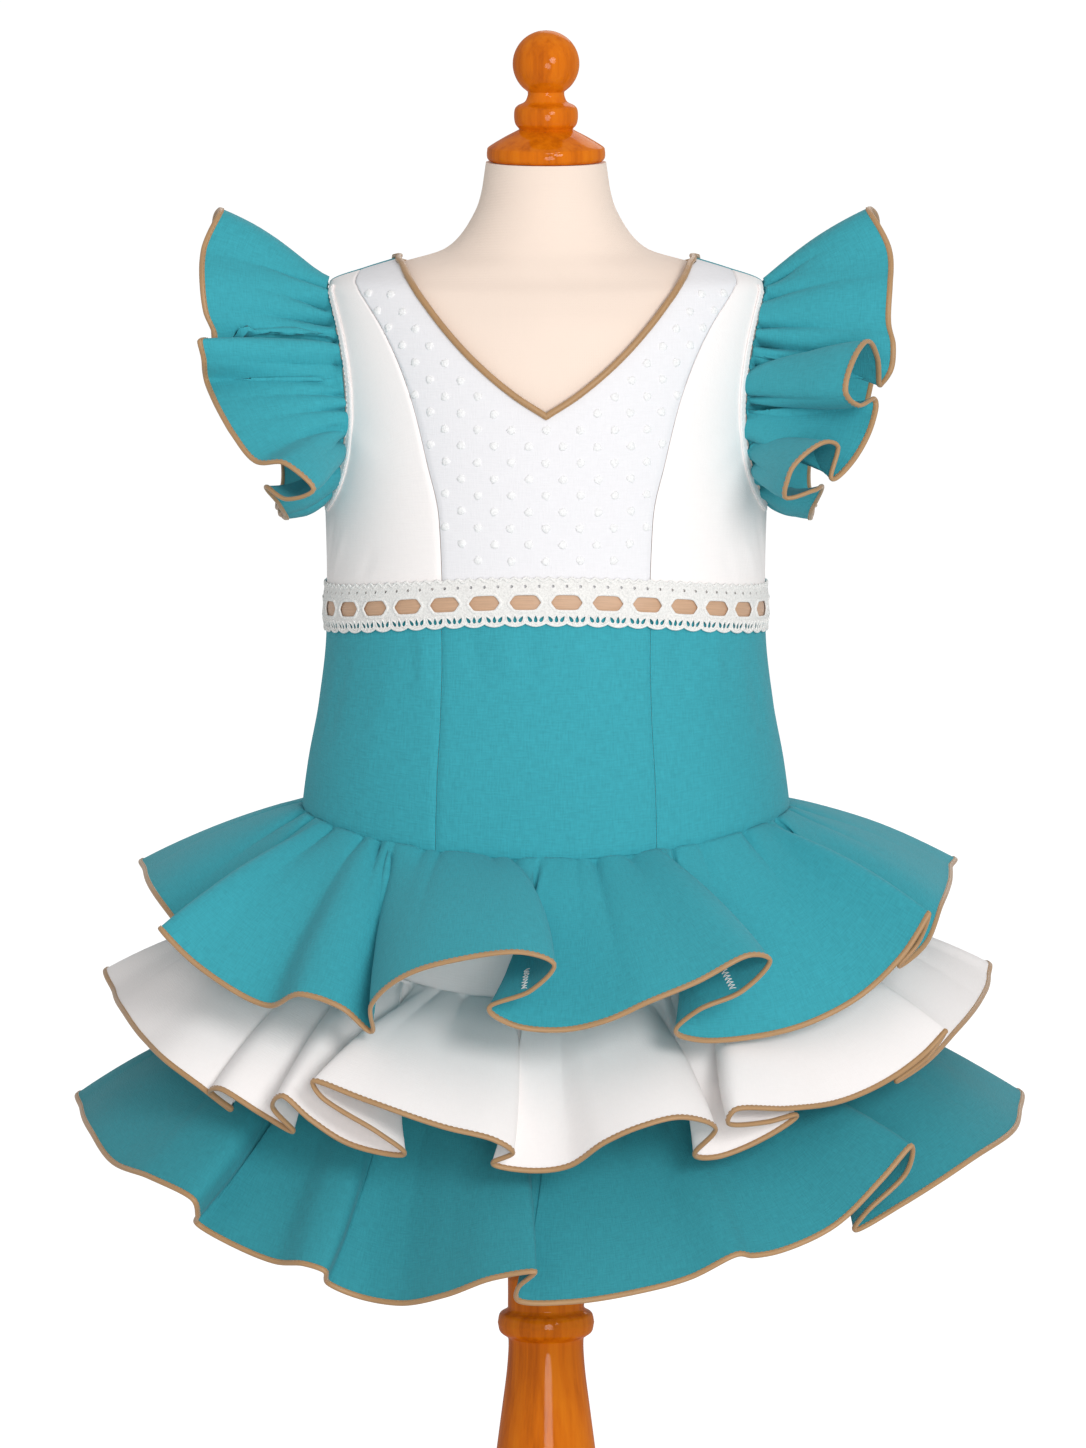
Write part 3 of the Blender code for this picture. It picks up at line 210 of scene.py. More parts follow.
# Each row is a bend of a ruffle's hem, from the left side round the front to the
# right side: where its fold leaves the seam, where it meets the hem, how far it
# flares from the vertical, all in degrees, and how much of its cut length it
# reaches where the cloth bows.
TOP_BENDS = (
    # seam, hem, flare, reach
    (-112, -113, 69, 1.00), (-100, -100, 67, 0.83), (-86, -85, 62, 0.77), (-75, -72, 53, 0.80),
    (-69, -64, 59, 0.93), (-65, -61, 67, 1.00), (-58, -55, 57, 1.00), (-50, -45, 48, 1.00),
    (-45, -37, 55, 1.00), (-42, -30.5, 52, 1.00), (-39, -27.5, 44, 1.00), (-35, -26, 54, 1.00),
    (-27, -20, 65, 1.00), (-18, -12, 71, 1.00), (-11, -3, 73.5, 1.00), (-7.5, 1.2, 70, 1.00),
    (-4, -2, 62, 1.00), (-1, -8, 56, 1.00), (1.5, -4.5, 50.5, 1.00), (4.5, 2.5, 49, 1.00),
    (8, 8.5, 52, 1.00), (13, 14, 57.5, 1.00), (19, 21, 63, 1.00), (24, 28.5, 69.5, 1.00),
    (26.5, 31.8, 67, 1.00), (28.5, 28.5, 58, 1.00), (30, 22.5, 53, 1.00), (31.5, 20, 46, 1.00),
    (34, 24.5, 41, 1.00), (38, 34, 39, 1.00), (44, 43, 40.5, 1.00), (52, 51, 48, 1.00),
    (59, 56, 60, 1.00), (63, 59, 72, 1.00), (67, 59, 63, 1.00), (71, 57, 57, 1.00),
    (76, 63, 60, 0.97), (82, 72, 66, 0.86), (89, 85, 66, 0.80), (100, 100, 68, 0.84),
    (112, 112, 70, 1.00),
)
MIDDLE_BENDS = (
    (-103, -103, 68, 1.00), (-94, -94, 62, 0.92), (-82, -80, 61, 0.90), (-71, -68, 59, 0.95),
    (-64, -60, 58, 1.00), (-59, -54, 52, 1.00), (-56, -50.5, 46, 1.00), (-53, -53, 51, 1.00),
    (-50, -49.5, 55, 1.00), (-46, -43, 49, 1.00), (-43, -39, 45, 1.00), (-40.5, -40.5, 54, 1.00),
    (-38.5, -37.5, 60, 1.00), (-36, -34, 53, 1.00), (-33.5, -29, 46, 1.00), (-31, -21, 46, 1.00),
    (-29, -24, 53, 1.00), (-27.5, -31.5, 63, 1.00), (-25, -32, 68, 1.00), (-21, -24, 65, 1.00),
    (-15, -14, 59.5, 1.00), (-10, -7, 56, 1.00), (-7, -4.5, 51, 1.00), (-4.5, -7.5, 46, 1.00),
    (-1.5, -2, 43.5, 1.00), (2.5, 3, 45.5, 1.00), (6, 8, 55, 1.00), (11, 13, 60, 1.00),
    (16, 18.5, 61.5, 1.00), (20.5, 24, 55, 1.00), (24, 22, 45, 1.00), (27, 26, 42, 1.00),
    (30, 33, 47, 1.00), (32.5, 36.5, 53, 1.00), (34.5, 32, 53, 1.00), (36.5, 25.5, 56, 1.00),
    (39, 26, 61, 1.00), (43, 35, 57, 1.00), (48, 44, 54, 1.00), (54, 52, 56, 1.00),
    (60, 58, 61, 1.00), (65, 62, 67, 1.00), (69, 60, 59, 1.00), (73, 55, 54, 1.00),
    (78, 60, 57, 1.00), (83, 71, 60, 0.94), (90, 85, 63, 0.92), (98, 97, 67, 0.96),
    (104, 103, 70, 1.00),
)
BOTTOM_BENDS = (
    (-101, -101, 62, 1.00), (-92, -92, 59, 0.94), (-80, -78, 58, 0.94), (-68, -66, 57, 1.00),
    (-60, -57, 59, 1.00), (-56, -49, 57, 1.00), (-53, -50, 50, 1.00), (-50, -52, 44.5, 1.00),
    (-46, -46, 39.5, 1.00), (-41, -40, 38.5, 1.00), (-37, -34, 43, 1.00), (-34, -31, 42, 1.00),
    (-31, -32, 34, 1.00), (-28, -28.5, 29.5, 1.00), (-23, -22, 31, 1.00), (-17, -14, 41, 1.00),
    (-11, -7, 51, 1.00), (-6, -1.3, 54, 1.00), (-2.5, -3.5, 47, 1.00), (0, -3.5, 41, 1.00),
    (3.5, 3, 40.5, 1.00), (11, 12, 43.5, 1.00), (17, 19, 47, 1.00), (22.5, 25, 53.5, 1.00),
    (26, 27.5, 51.5, 1.00), (30, 32, 51, 1.00), (35, 38.5, 55, 1.00), (41, 44, 67, 1.00),
    (46, 48, 75, 1.00), (50, 48.5, 66, 1.00), (54, 44, 56, 1.00), (58, 43.5, 50, 1.00),
    (62, 50, 54, 1.00), (67, 57, 58, 1.00), (73, 64, 61, 1.00), (81, 75, 62, 1.00),
    (90, 86, 62, 0.96), (99, 98, 63.5, 0.98),
)
SKIRT_RUFFLES = (
    # tier, bends, swell, height of the gathers, seed
    ("top", TOP_BENDS, 0.004, 0.0042, 11),
    ("middle", MIDDLE_BENDS, 0.003, 0.0040, 23),
    ("bottom", BOTTOM_BENDS, 0.003, 0.0040, 37),
)
# Flutes of the back, placed at an even spacing
BACK_FLUTES = {"top": 3, "middle": 3, "bottom": 4}
# One back flute: shares of the spacing along the seam and the hem, and the flare
BACK_FLUTE = ((-0.44, -0.40, 49), (-0.22, -0.24, 57), (-0.03, -0.01, 67), (0.08, 0.10, 64),
              (0.18, 0.09, 54), (0.30, 0.16, 47.5))

# Sleeve ruffles: an angle round the armhole is 0 at the shoulder tip, 90 at its
# front edge, 180 under the arm and 270 at the back. A flare of 0 stands straight
# out to the side and 90 lies flat against the body.
SLEEVE_LENGTH = 0.069
SLEEVE_LEFT_BENDS = (
    # seam, hem, flare, reach
    (0, 2, 33, 0.92), (16, 20, 20, 0.94), (32, 36, 18, 0.97), (44, 49, 13, 0.95),
    (52, 57, 10, 0.90), (59, 64, 21, 1.07), (66, 70, 17, 1.03), (74, 76, 8, 0.99),
    (83, 86, 20, 0.97), (91, 95, 35, 0.96), (98, 101, 50, 0.97), (104, 100, 65, 0.98),
    (111, 106, 78, 0.98), (118, 110, 66, 0.97), (125, 110, 52, 0.88), (134, 120, 50, 0.68),
    (146, 138, 42, 0.46), (160, 158, 25, 0.36), (180, 180, 12, 0.32),
)
SLEEVE_RIGHT_BENDS = (
    (0, 2, 34, 0.91), (16, 22, 19, 0.95), (31, 38, 17, 0.97), (42, 53, 13, 0.98),
    (50, 63, 14, 1.04), (57, 73, 12, 1.03), (62, 78, 10, 0.96), (67, 70, 22, 0.98),
    (72, 67, 34, 1.00), (77, 75, 44, 1.00), (82, 83, 47, 1.00), (86, 87, 38, 1.00),
    (90, 86, 25, 1.00), (96, 93, 29, 1.00), (102, 102, 43, 1.00), (107, 105, 54, 1.00),
    (111, 97, 50, 1.00), (115, 95, 57, 1.00), (120, 101, 73, 1.00), (126, 108, 76, 1.00),
    (132, 108, 62, 0.98), (138, 110, 53, 0.86), (146, 126, 46, 0.60), (160, 154, 28, 0.38),
    (180, 180, 12, 0.32),
)
SLEEVE_BACK_BENDS = (
    (204, 204, 22, 0.38), (222, 220, 38, 0.54), (236, 240, 52, 0.72), (248, 250, 56, 0.88),
    (258, 250, 40, 0.92), (268, 262, 24, 0.95), (284, 284, 14, 0.97), (302, 304, 16, 0.97),
    (320, 322, 24, 0.96), (342, 344, 32, 0.95),
)

# Lace band with ribbon windows, round the waist seam
LACE_HEIGHT = 0.0235
RIBBON_HEIGHT = 0.0115
WINDOWS_FRONT, WINDOWS_BACK = 14, 16
WINDOW_WIDTH, WINDOW_SHOULDER, WINDOW_HEIGHT = 0.0175, 0.0110, 0.0088
SCALLOP_DEPTH = 0.0018
DROP_RISE, DROP_SIZE = -0.0080, 0.0044   # the drop-shaped eyelets of each scallop
DROPS = ((-0.0031, -32), (0.0, 0), (0.0031, 32))   # place along the scallop, lean
PIN_RISE, PIN_RADIUS, PIN_COUNT = 0.0079, 0.00075, 3
SQUARE_COLUMNS, SQUARE_ROWS = 41, 7      # points on the edges of one window's lace
EDGE_POINTS = 60                         # of the lace's cords, for each window
CORD_WAVE, CORD_PERIOD = 0.0008, 0.00090
CLOSURE_HEIGHTS = (WAIST_BACK + 0.6 * LACE_HEIGHT, BACK_NECKLINE[0][1] - 0.004)

# Dress form and stand
NECK_TOP = 0.7715
FORM_BOTTOM = 0.350
FORM_FOOT = ((FORM_BOTTOM, 0.78), (0.356, 0.84), (0.385, 0.93), (0.425, 0.968), (0.452, 0.982))
FORM_BODY, FORM_NECK = (0.472, 0.70), (0.7015, 0.7600)   # lowest and highest rings
CAP_PROFILE = (
    # radius, height above the neck
    (0.0, 0.0003), (0.0278, 0.0003), (0.0293, 0.0022), (0.0293, 0.0058), (0.0282, 0.0078),
    (0.0205, 0.0125), (0.0142, 0.0158), (0.0135, 0.0166), (0.0152, 0.0188), (0.0159, 0.0222),
    (0.0156, 0.0262), (0.0140, 0.0282), (0.0106, 0.0300), (0.0092, 0.0330), (0.0091, 0.0350),
)
FINIAL_RADIUS, FINIAL_CENTRE = 0.0166, 0.0489
COLUMN_PROFILE = (
    # radius, height above the floor
    (0.0, 0.0263), (0.0230, 0.0263), (0.0295, 0.0300), (0.0300, 0.0350), (0.0245, 0.0400),
    (0.0215, 0.0470), (0.0235, 0.0620), (0.0262, 0.0850), (0.0266, 0.1000), (0.0256, 0.1160),
    (0.0226, 0.1400), (0.0200, 0.1600), (0.0190, 0.1720), (0.0190, 0.1785), (0.0200, 0.1800),
    (0.0232, 0.1825), (0.0243, 0.1870), (0.0232, 0.1915), (0.0196, 0.1940), (0.0192, 0.1975),
    (0.0192, 0.2100), (0.0150, 0.2140), (0.0150, 0.3497), (0.0, 0.3497),
)
COLUMN_CORNERS = (1, 14, 16, 20, 21, 22)   # rows of the profile that stay sharp
BASE_CORNERS = (1, 6)
BASE_PROFILE = (
    (0.0, 0.0), (0.1380, 0.0), (0.1420, 0.0040), (0.1430, 0.0110), (0.1400, 0.0160),
    (0.1180, 0.0200), (0.0420, 0.0260), (0.0, 0.0260),
)

# Materials

def new_material(name, colour, roughness, **sockets):
    """A Principled material; the other sockets are given by name, with _ for a space."""
    made = bpy.data.materials.new(name)
    made.use_nodes = True
    shader = made.node_tree.nodes["Principled BSDF"]
    shader.inputs["Base Color"].default_value = (*colour, 1.0)
    shader.inputs["Roughness"].default_value = roughness
    for socket, value in sockets.items():
        shader.inputs[socket.replace("_", " ")].default_value = value
    return made


def noise(tree, coordinate, scale, detail=3.0, roughness=0.5):
    """Noise of a coordinate output, scaled by three numbers per metre."""
    source = tree.nodes.new("ShaderNodeTexCoord")
    mapping = tree.nodes.new("ShaderNodeMapping")
    mapping.inputs["Scale"].default_value = scale
    made = tree.nodes.new("ShaderNodeTexNoise")
    made.inputs["Scale"].default_value = 1.0
    made.inputs["Detail"].default_value = detail
    made.inputs["Roughness"].default_value = roughness
    tree.links.new(source.outputs[coordinate], mapping.inputs["Vector"])
    tree.links.new(mapping.outputs["Vector"], made.inputs["Vector"])
    return made.outputs["Fac"]


def threads(tree, scale, distortion=0.6):
    """A weave's raised threads, from waves across and along the cloth."""
    source = tree.nodes.new("ShaderNodeTexCoord")
    both = []
    for direction in ("X", "Y"):
        wave = tree.nodes.new("ShaderNodeTexWave")
        wave.bands_direction = direction
        wave.inputs["Scale"].default_value = scale
        wave.inputs["Distortion"].default_value = distortion
        wave.inputs["Detail"].default_value = 1.0
        wave.inputs["Detail Scale"].default_value = 1.5
        tree.links.new(source.outputs["UV"], wave.inputs["Vector"])
        both.append(wave.outputs["Fac"])
    return combine(tree, "MULTIPLY", *both)


def combine(tree, operation, a, b):
    """A math node of two values, each an output or a number."""
    made = tree.nodes.new("ShaderNodeMath")
    made.operation = operation
    for socket, value in zip(made.inputs, (a, b)):
        if isinstance(value, (int, float)):
            socket.default_value = value
        else:
            tree.links.new(value, socket)
    return made.outputs[0]


def ramp(tree, value, *stops):
    """Colours at the given places of a value."""
    made = tree.nodes.new("ShaderNodeValToRGB")
    band = made.color_ramp
    while len(band.elements) < len(stops):
        band.elements.new(0.5)
    for element, (place, colour) in zip(band.elements, stops):
        element.position = place
        element.color = (*colour, 1.0)
    tree.links.new(value, made.inputs["Fac"])
    return made.outputs["Color"]


def add_bump(made, height, distance, strength=1.0):
    """Adds a bump under any bump that the material has already."""
    tree = made.node_tree
    shader = tree.nodes["Principled BSDF"]
    bump = tree.nodes.new("ShaderNodeBump")
    bump.inputs["Distance"].default_value = distance
    bump.inputs["Strength"].default_value = strength
    tree.links.new(height, bump.inputs["Height"])
    before = shader.inputs["Normal"].links
    if before:
        tree.links.new(before[0].from_socket, bump.inputs["Normal"])
    tree.links.new(bump.outputs["Normal"], shader.inputs["Normal"])


def tinted(colour, share):
    return tuple(min(1.0, c * share) for c in colour)


def set_colour(made, value, *stops):
    tree = made.node_tree
    shader = tree.nodes["Principled BSDF"]
    tree.links.new(ramp(tree, value, *stops), shader.inputs["Base Color"])


def crepe(name, colour, contrast, sheen, relief):
    """Matte crepe: slubs both ways, a fine pebble and a soft cloudy tone."""
    made = new_material(name, colour, 0.82, Sheen_Weight=sheen, Sheen_Roughness=0.5,
                        Specular_IOR_Level=0.25)
    tree = made.node_tree
    across = noise(tree, "UV", (1300.0, 160.0, 1.0), 2.0)
    along = noise(tree, "UV", (160.0, 1300.0, 1.0), 2.0)
    slubs = combine(tree, "ADD", across, along)
    pebble = noise(tree, "UV", (2600.0, 2600.0, 1.0), 1.0)
    cloud = noise(tree, "Object", (9.0, 9.0, 9.0), 2.0)
    tone = combine(tree, "ADD", combine(tree, "MULTIPLY", slubs, 0.40),
                   combine(tree, "MULTIPLY", cloud, 0.20))
    set_colour(made, tone, (0.38, tinted(colour, 1 - contrast)),
               (0.62, tinted(colour, 1 + contrast)))
    add_bump(made, slubs, relief, 0.8)
    add_bump(made, pebble, 0.4 * relief, 0.6)
    return made


def satin(name, colour, gloss, twill):
    """Satin: a fine diagonal twill and lengthwise streaks of gloss."""
    made = new_material(name, colour, 0.42, Sheen_Weight=0.25, Sheen_Roughness=0.4,
                        Specular_IOR_Level=0.45)
    tree = made.node_tree
    shader = tree.nodes["Principled BSDF"]
    streaks = noise(tree, "UV", (60.0, 2200.0, 1.0), 2.0)
    set_colour(made, streaks, (0.30, tinted(colour, 0.90)), (0.70, tinted(colour, 1.10)))
    span = tree.nodes.new("ShaderNodeMapRange")
    span.inputs["To Min"].default_value = gloss - 0.07
    span.inputs["To Max"].default_value = gloss + 0.12
    tree.links.new(streaks, span.inputs["Value"])
    tree.links.new(span.outputs["Result"], shader.inputs["Roughness"])
    add_bump(made, threads(tree, twill, 1.2), 0.00007, 0.6)
    add_bump(made, noise(tree, "UV", (240.0, 240.0, 1.0), 2.0), 0.00035, 0.5)
    return made


def cotton(name, colour):
    """Lace and stitches: a fine woven cotton, slightly fuzzy."""
    made = new_material(name, colour, 0.88, Sheen_Weight=0.25, Specular_IOR_Level=0.2)
    tree = made.node_tree
    fibre = noise(tree, "Object", (1100.0, 1100.0, 1100.0), 3.0, 0.6)
    set_colour(made, fibre, (0.32, tinted(colour, 0.86)), (0.62, tinted(colour, 1.04)))
    add_bump(made, fibre, 0.00040, 0.9)
    return made


def jersey(name, colour):
    """The form's stretched jersey: fine ribs of knit and a soft uneven tone."""
    made = new_material(name, colour, 0.86, Sheen_Weight=0.12, Specular_IOR_Level=0.2)
    tree = made.node_tree
    ribs = threads(tree, 420.0, 0.8)
    cloud = noise(tree, "Object", (14.0, 14.0, 14.0), 3.0)
    set_colour(made, cloud, (0.30, tinted(colour, 0.97)), (0.70, tinted(colour, 1.02)))
    add_bump(made, ribs, 0.00010, 0.5)
    add_bump(made, noise(tree, "UV", (900.0, 900.0, 1.0), 2.0), 0.00008, 0.5)
    return made


def varnished_wood(name, along):
    """Orange-brown varnished wood with long dark grain; along is the grain's axis."""
    made = new_material(name, WOOD, 0.35, Coat_Weight=0.30, Coat_Roughness=0.06,
                        Specular_IOR_Level=0.0)
    tree = made.node_tree
    grain, pores, broad = (
        noise(tree, "Object", [length if k == along else across for k in range(3)], detail, rough)
        for across, length, detail, rough in ((190.0, 7.0, 6.0, 0.62), (1100.0, 30.0, 2.0, 0.5),
                                              (38.0, 3.0, 3.0, 0.5)))
    tone = combine(tree, "ADD", combine(tree, "MULTIPLY", grain, 0.55),
                   combine(tree, "MULTIPLY", broad, 0.45))
    set_colour(made, tone, (0.36, WOOD_DARK), (0.50, WOOD), (0.66, WOOD_LIGHT))
    add_bump(made, pores, 0.00004, 0.35)
    return made


# Shared geometry, the same formulas as the solids

def unit(vectors):
    """Vectors of length 1 with the same directions."""
    return vectors / np.maximum(np.linalg.norm(vectors, axis=-1, keepdims=True), 1e-12)


def looped(points):
    """The points, and the first one again after them."""
    return np.concatenate([points, points[:1]])


def run_length(points):
    """Length along a row of points, from the first one to each."""
    return np.concatenate([[0], np.cumsum(np.linalg.norm(np.diff(points, axis=0), axis=-1))])


def loop_length(points):
    return np.linalg.norm(np.roll(points, -1, 0) - points, axis=-1).sum()


def along_run(at, run, values):
    """Each column of the values, read at places along the run."""
    return np.stack([np.interp(at, run, column) for column in values.T], -1)


def smoothed(line, rounds, fixed=(), axis=0):
    """A closed line drawn smoother, apart from its fixed points."""
    for _ in range(rounds):
        eased = (np.roll(line, 1, axis) + 2 * line + np.roll(line, -1, axis)) / 4
        eased[list(fixed)] = line[list(fixed)]
        line = eased
    return line


def from_ends(count):
    """Steps from the nearer end, for each place in a row."""
    return np.minimum(np.arange(count), np.arange(count)[::-1])


def monotone(knots, values, at):
    """A curve through the values that never overshoots them (Fritsch and Carlson)."""
    knots, values, at = (np.asarray(x, float) for x in (knots, values, at))
    steps = np.diff(knots)
    slopes = np.diff(values) / steps
    inner = np.zeros(len(values))
    same = slopes[:-1] * slopes[1:] > 0
    inner[1:-1][same] = 2 * slopes[:-1][same] * slopes[1:][same] / (slopes[:-1] + slopes[1:])[same]
    inner[0], inner[-1] = slopes[0], slopes[-1]
    i = np.clip(np.searchsorted(knots, at, side="right") - 1, 0, len(steps) - 1)
    t = (at - knots[i]) / steps[i]
    return (values[i] * (1 + 2 * t) * (1 - t) ** 2 + inner[i] * steps[i] * t * (1 - t) ** 2
            + values[i + 1] * t * t * (3 - 2 * t) - inner[i + 1] * steps[i] * t * t * (1 - t))


def body_surface(bearing, height, offset=0.0):
    """Points of the worn cloth's outer face, moved out by the offset."""
    bearing, height = np.broadcast_arrays(np.radians(bearing), np.asarray(height, float))
    stations = np.array(BODY_STATIONS)
    sizes = [monotone(stations[:, 0], stations[:, i], height) for i in (1, 2, 3)]
    width, depth = sizes[0], np.where(np.cos(bearing) > 0, sizes[1], sizes[2])
    normal = unit(np.stack([np.sin(bearing) / width, -np.cos(bearing) / depth], -1))
    return np.stack([width * np.sin(bearing) + offset * normal[..., 0],
                     -depth * np.cos(bearing) + offset * normal[..., 1], height], -1)


def body_normal(bearing, height):
    """Unit normals of the worn cloth."""
    turn, rise = 0.05, 0.0002
    along = body_surface(bearing + turn, height) - body_surface(bearing - turn, height)
    up = body_surface(bearing, height + rise) - body_surface(bearing, height - rise)
    return unit(np.cross(along, up))


def body_point(chart, lift):
    """Points at bearings and heights, moved out at right angles to the cloth."""
    lift = np.asarray(lift, float)[..., None]
    place = chart[..., 0], chart[..., 1]
    return body_surface(*place) + lift * body_normal(*place)


def seam_height(bearing, side, front, back):
    """Height of a seam that rises or falls from the side to the front and back."""
    along = np.cos(np.radians(bearing))
    return side + np.where(along > 0, front - side, back - side) * along**2


def waist_height(bearing):
    return seam_height(bearing, WAIST_SIDE, WAIST_FRONT, WAIST_BACK)


def hip_height(bearing):
    return seam_height(bearing, HIP_SIDE, HIP_FRONT, HIP_BACK)


def along_path(path, count):
    """Evenly spaced points of a bearing and height path, by its length on the body."""
    path = np.array(path, float)
    fine = np.linspace(0, len(path) - 1, PATH_FINENESS)
    chart = np.stack([monotone(np.arange(len(path)), column, fine) for column in path.T], -1)
    length = run_length(body_surface(chart[:, 0], chart[:, 1]))
    return along_run(np.linspace(0, length[-1], count), length, chart)


def armhole_edge(turn):
    """Bearing and height on the +X side's armhole at a turn from the shoulder tip, in degrees."""
    turn = np.radians(np.asarray(turn, float))
    middle, half = (SHOULDER_TIP + UNDERARM) / 2, (SHOULDER_TIP - UNDERARM) / 2
    across = np.sign(np.sin(turn)) * np.abs(np.sin(turn)) ** 0.85
    return 90.0 - ARMHOLE_REACH * across, middle + half * np.cos(turn + 0.12 * np.sin(turn))


def mirrored(path):
    """The same path on the other side of the body."""
    return path * np.array([-1.0, 1.0])


def closed_spline(rows, weights):
    """A smooth closed run through the rows. The first column never turns back."""
    rows = np.array(rows, float)
    turn = np.zeros(rows.shape[1])
    turn[:2] = 360.0
    laps = np.concatenate([rows[-2:] - turn, rows, rows[:3] + turn])
    gaps = np.linalg.norm(np.diff(laps, axis=0) * weights, axis=1) ** 0.5
    knots = np.concatenate([[0], np.cumsum(gaps)])
    points, sample = [], []
    for i in range(2, len(rows) + 2):
        p, t = laps[i - 1:i + 3], knots[i - 1:i + 3]
        s = np.linspace(t[1], t[2], SPLINE_FINENESS, endpoint=False)[:, None]
        for reach, span in ((1, 3), (2, 2)):
            p = [p[k] * (t[k + reach] - s) / (t[k + reach] - t[k])
                 + p[k + 1] * (s - t[k]) / (t[k + reach] - t[k]) for k in range(span)]
        points.append(p[0] * (t[2] - s) / (t[2] - t[1]) + p[1] * (s - t[1]) / (t[2] - t[1]))
        sample.append(s[:, 0])
    points = np.concatenate(points)
    points[:, 0] = monotone(knots, laps[:, 0], np.concatenate(sample))
    return points


def spread(run, hem, count):
    """Picks the run's points by the hem's length and by how sharply it turns."""
    step = np.roll(hem, -1, axis=0) - hem
    length = np.linalg.norm(step, axis=1)
    unit_step = step / length[:, None]
    bend = np.arccos(np.clip((unit_step * np.roll(unit_step, 1, axis=0)).sum(1), -1, 1))
    weighted = length + TURN_WEIGHT * (bend + np.roll(bend, -1)) / 2
    measure = np.concatenate([[0], np.cumsum(weighted)])
    whole = looped(run)
    whole[-1, :2] += 360.0
    return along_run(np.linspace(0, measure[-1], count, endpoint=False), measure, whole)


def seam_point(size, bearing, inset=0.0):
    """Points and level normals of an oval seam that rises or falls to the front and back."""
    width, front, back, side, z_front, z_back = size[:6]
    angle = np.radians(bearing)
    depth = np.where(np.cos(angle) > 0, front, back)
    normal = unit(np.stack([np.sin(angle) / width, -np.cos(angle) / depth,
                            np.zeros_like(angle)], -1))
    point = np.stack([width * np.sin(angle), -depth * np.cos(angle),
                      seam_height(bearing, side, z_front, z_back)], -1)
    return point - inset * normal, normal


def skirt_hem(size, run):
    """Where a skirt ruffle's hem hangs, from its bends."""
    base, normal = seam_point(size, run[:, 1])
    flare = np.radians(run[:, 2:3])
    toward = np.sin(flare) * normal - np.cos(flare) * np.array([0.0, 0.0, 1.0])
    return base + size[6] * run[:, 3:4] * toward


def with_back_flutes(bends, flutes):
    """The bends of the front and sides, then evenly spaced flutes round the back."""
    first, last = bends[0], bends[-1]
    start, end = last[1], first[1] + 360.0
    spacing = (end - start) / (flutes + 1)
    rows = list(bends)
    for i in range(flutes + 1):
        crest = start + (i + 1) * spacing
        for along_seam, along_hem, flare in BACK_FLUTE:
            if i == flutes and along_seam > -0.1:
                break
            rows.append((crest + along_seam * spacing, crest + along_hem * spacing, flare, 1.0))
    return rows


def sleeve_hem(side, run):
    """Where a sleeve ruffle's hem stands, from its bends round the armhole."""
    bearing, height = armhole_edge(run[:, 1])
    base = body_surface(bearing, height)
    turn = np.radians(run[:, 1])
    away = np.stack([np.zeros_like(turn), -np.sin(turn), np.cos(turn)], -1)
    flare = np.radians(run[:, 2:3])
    toward = np.sin(flare) * away + np.cos(flare) * np.array([1.0, 0.0, 0.0])
    return (base + SLEEVE_LENGTH * run[:, 3:4] * toward) * np.array([side, 1.0, 1.0])


# Meshes. A grid's rows run up the cloth and its columns to the viewer's right,
# so that its faces point out.

def add_mesh(name, points, faces, finish, uv=None, sharp=60.0):
    """An object from points and arrays of faces, one array for each number of corners."""
    loops = np.concatenate([part.ravel() for part in faces])
    sizes = np.concatenate([np.full(len(part), part.shape[1]) for part in faces])
    mesh = bpy.data.meshes.new(name)
    mesh.vertices.add(len(points))
    mesh.vertices.foreach_set("co", np.asarray(points, np.float32).ravel())
    mesh.loops.add(len(loops))
    mesh.loops.foreach_set("vertex_index", np.asarray(loops, np.int32))
    mesh.polygons.add(len(sizes))
    starts = np.concatenate([[0], np.cumsum(sizes)[:-1]])
    mesh.polygons.foreach_set("loop_start", starts.astype(np.int32))
    mesh.update(calc_edges=True)
    if uv is not None:
        layer = mesh.uv_layers.new(name="cloth")
        layer.data.foreach_set("uv", np.asarray(uv, np.float32).ravel())
    mesh.materials.append(finish)
    mesh.validate()
    mesh.shade_smooth()
    mesh.set_sharp_from_angle(angle=math.radians(sharp))
    made = bpy.data.objects.new(name, mesh)
    bpy.context.scene.collection.objects.link(made)
    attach(made, "root")
    return made


def grid_normals(grid, closed):
    along = np.roll(grid, -1, 1) - np.roll(grid, 1, 1) if closed else np.gradient(grid, axis=1)
    return unit(np.cross(along, np.gradient(grid, axis=0)))


def cells(rows, columns, corners):
    """Row and column of every corner of a grid's cells, from the corners' offsets."""
    i, j = np.meshgrid(np.arange(rows), np.arange(columns), indexing="ij")
    return np.stack([i.ravel(), j.ravel()], -1)[:, None, :] + np.array(corners)


def grid_quads(rows, columns, closed):
    """Corner indices of a grid's quads, and each corner's row and column for its UV."""
    corners = cells(rows - 1, columns if closed else columns - 1, CLOTH_CORNERS)
    return corners[..., 0] * columns + corners[..., 1] % columns, corners


def wall(name, outer, inner, faces, uv, finish):
    """A closed wall between two matching point sets; uv is the place of each face's corners."""
    count = len(outer)
    start, end = faces.ravel(), np.roll(faces, -1, axis=1).ravel()
    rim = ~np.isin(end * count + start, start * count + end)
    rims = np.stack([end, start, start + count, end + count], 1)[rim]
    place, beside = uv.reshape(-1, 2), np.roll(uv, -1, axis=1).reshape(-1, 2)
    rim_uv = np.stack([beside, place, place, beside], 1)[rim]
    uvs = np.concatenate([place, uv[:, ::-1].reshape(-1, 2), rim_uv.reshape(-1, 2)])
    return add_mesh(name, np.concatenate([outer, inner]),
                    (faces, faces[:, ::-1] + count, rims), finish, uvs)


def lengths(grid, axis):
    """Mean distance of each row or column of a grid from the first one."""
    steps = np.linalg.norm(np.diff(grid, axis=axis), axis=-1).mean(axis=1 - axis)
    return np.concatenate([[0], np.cumsum(steps)])


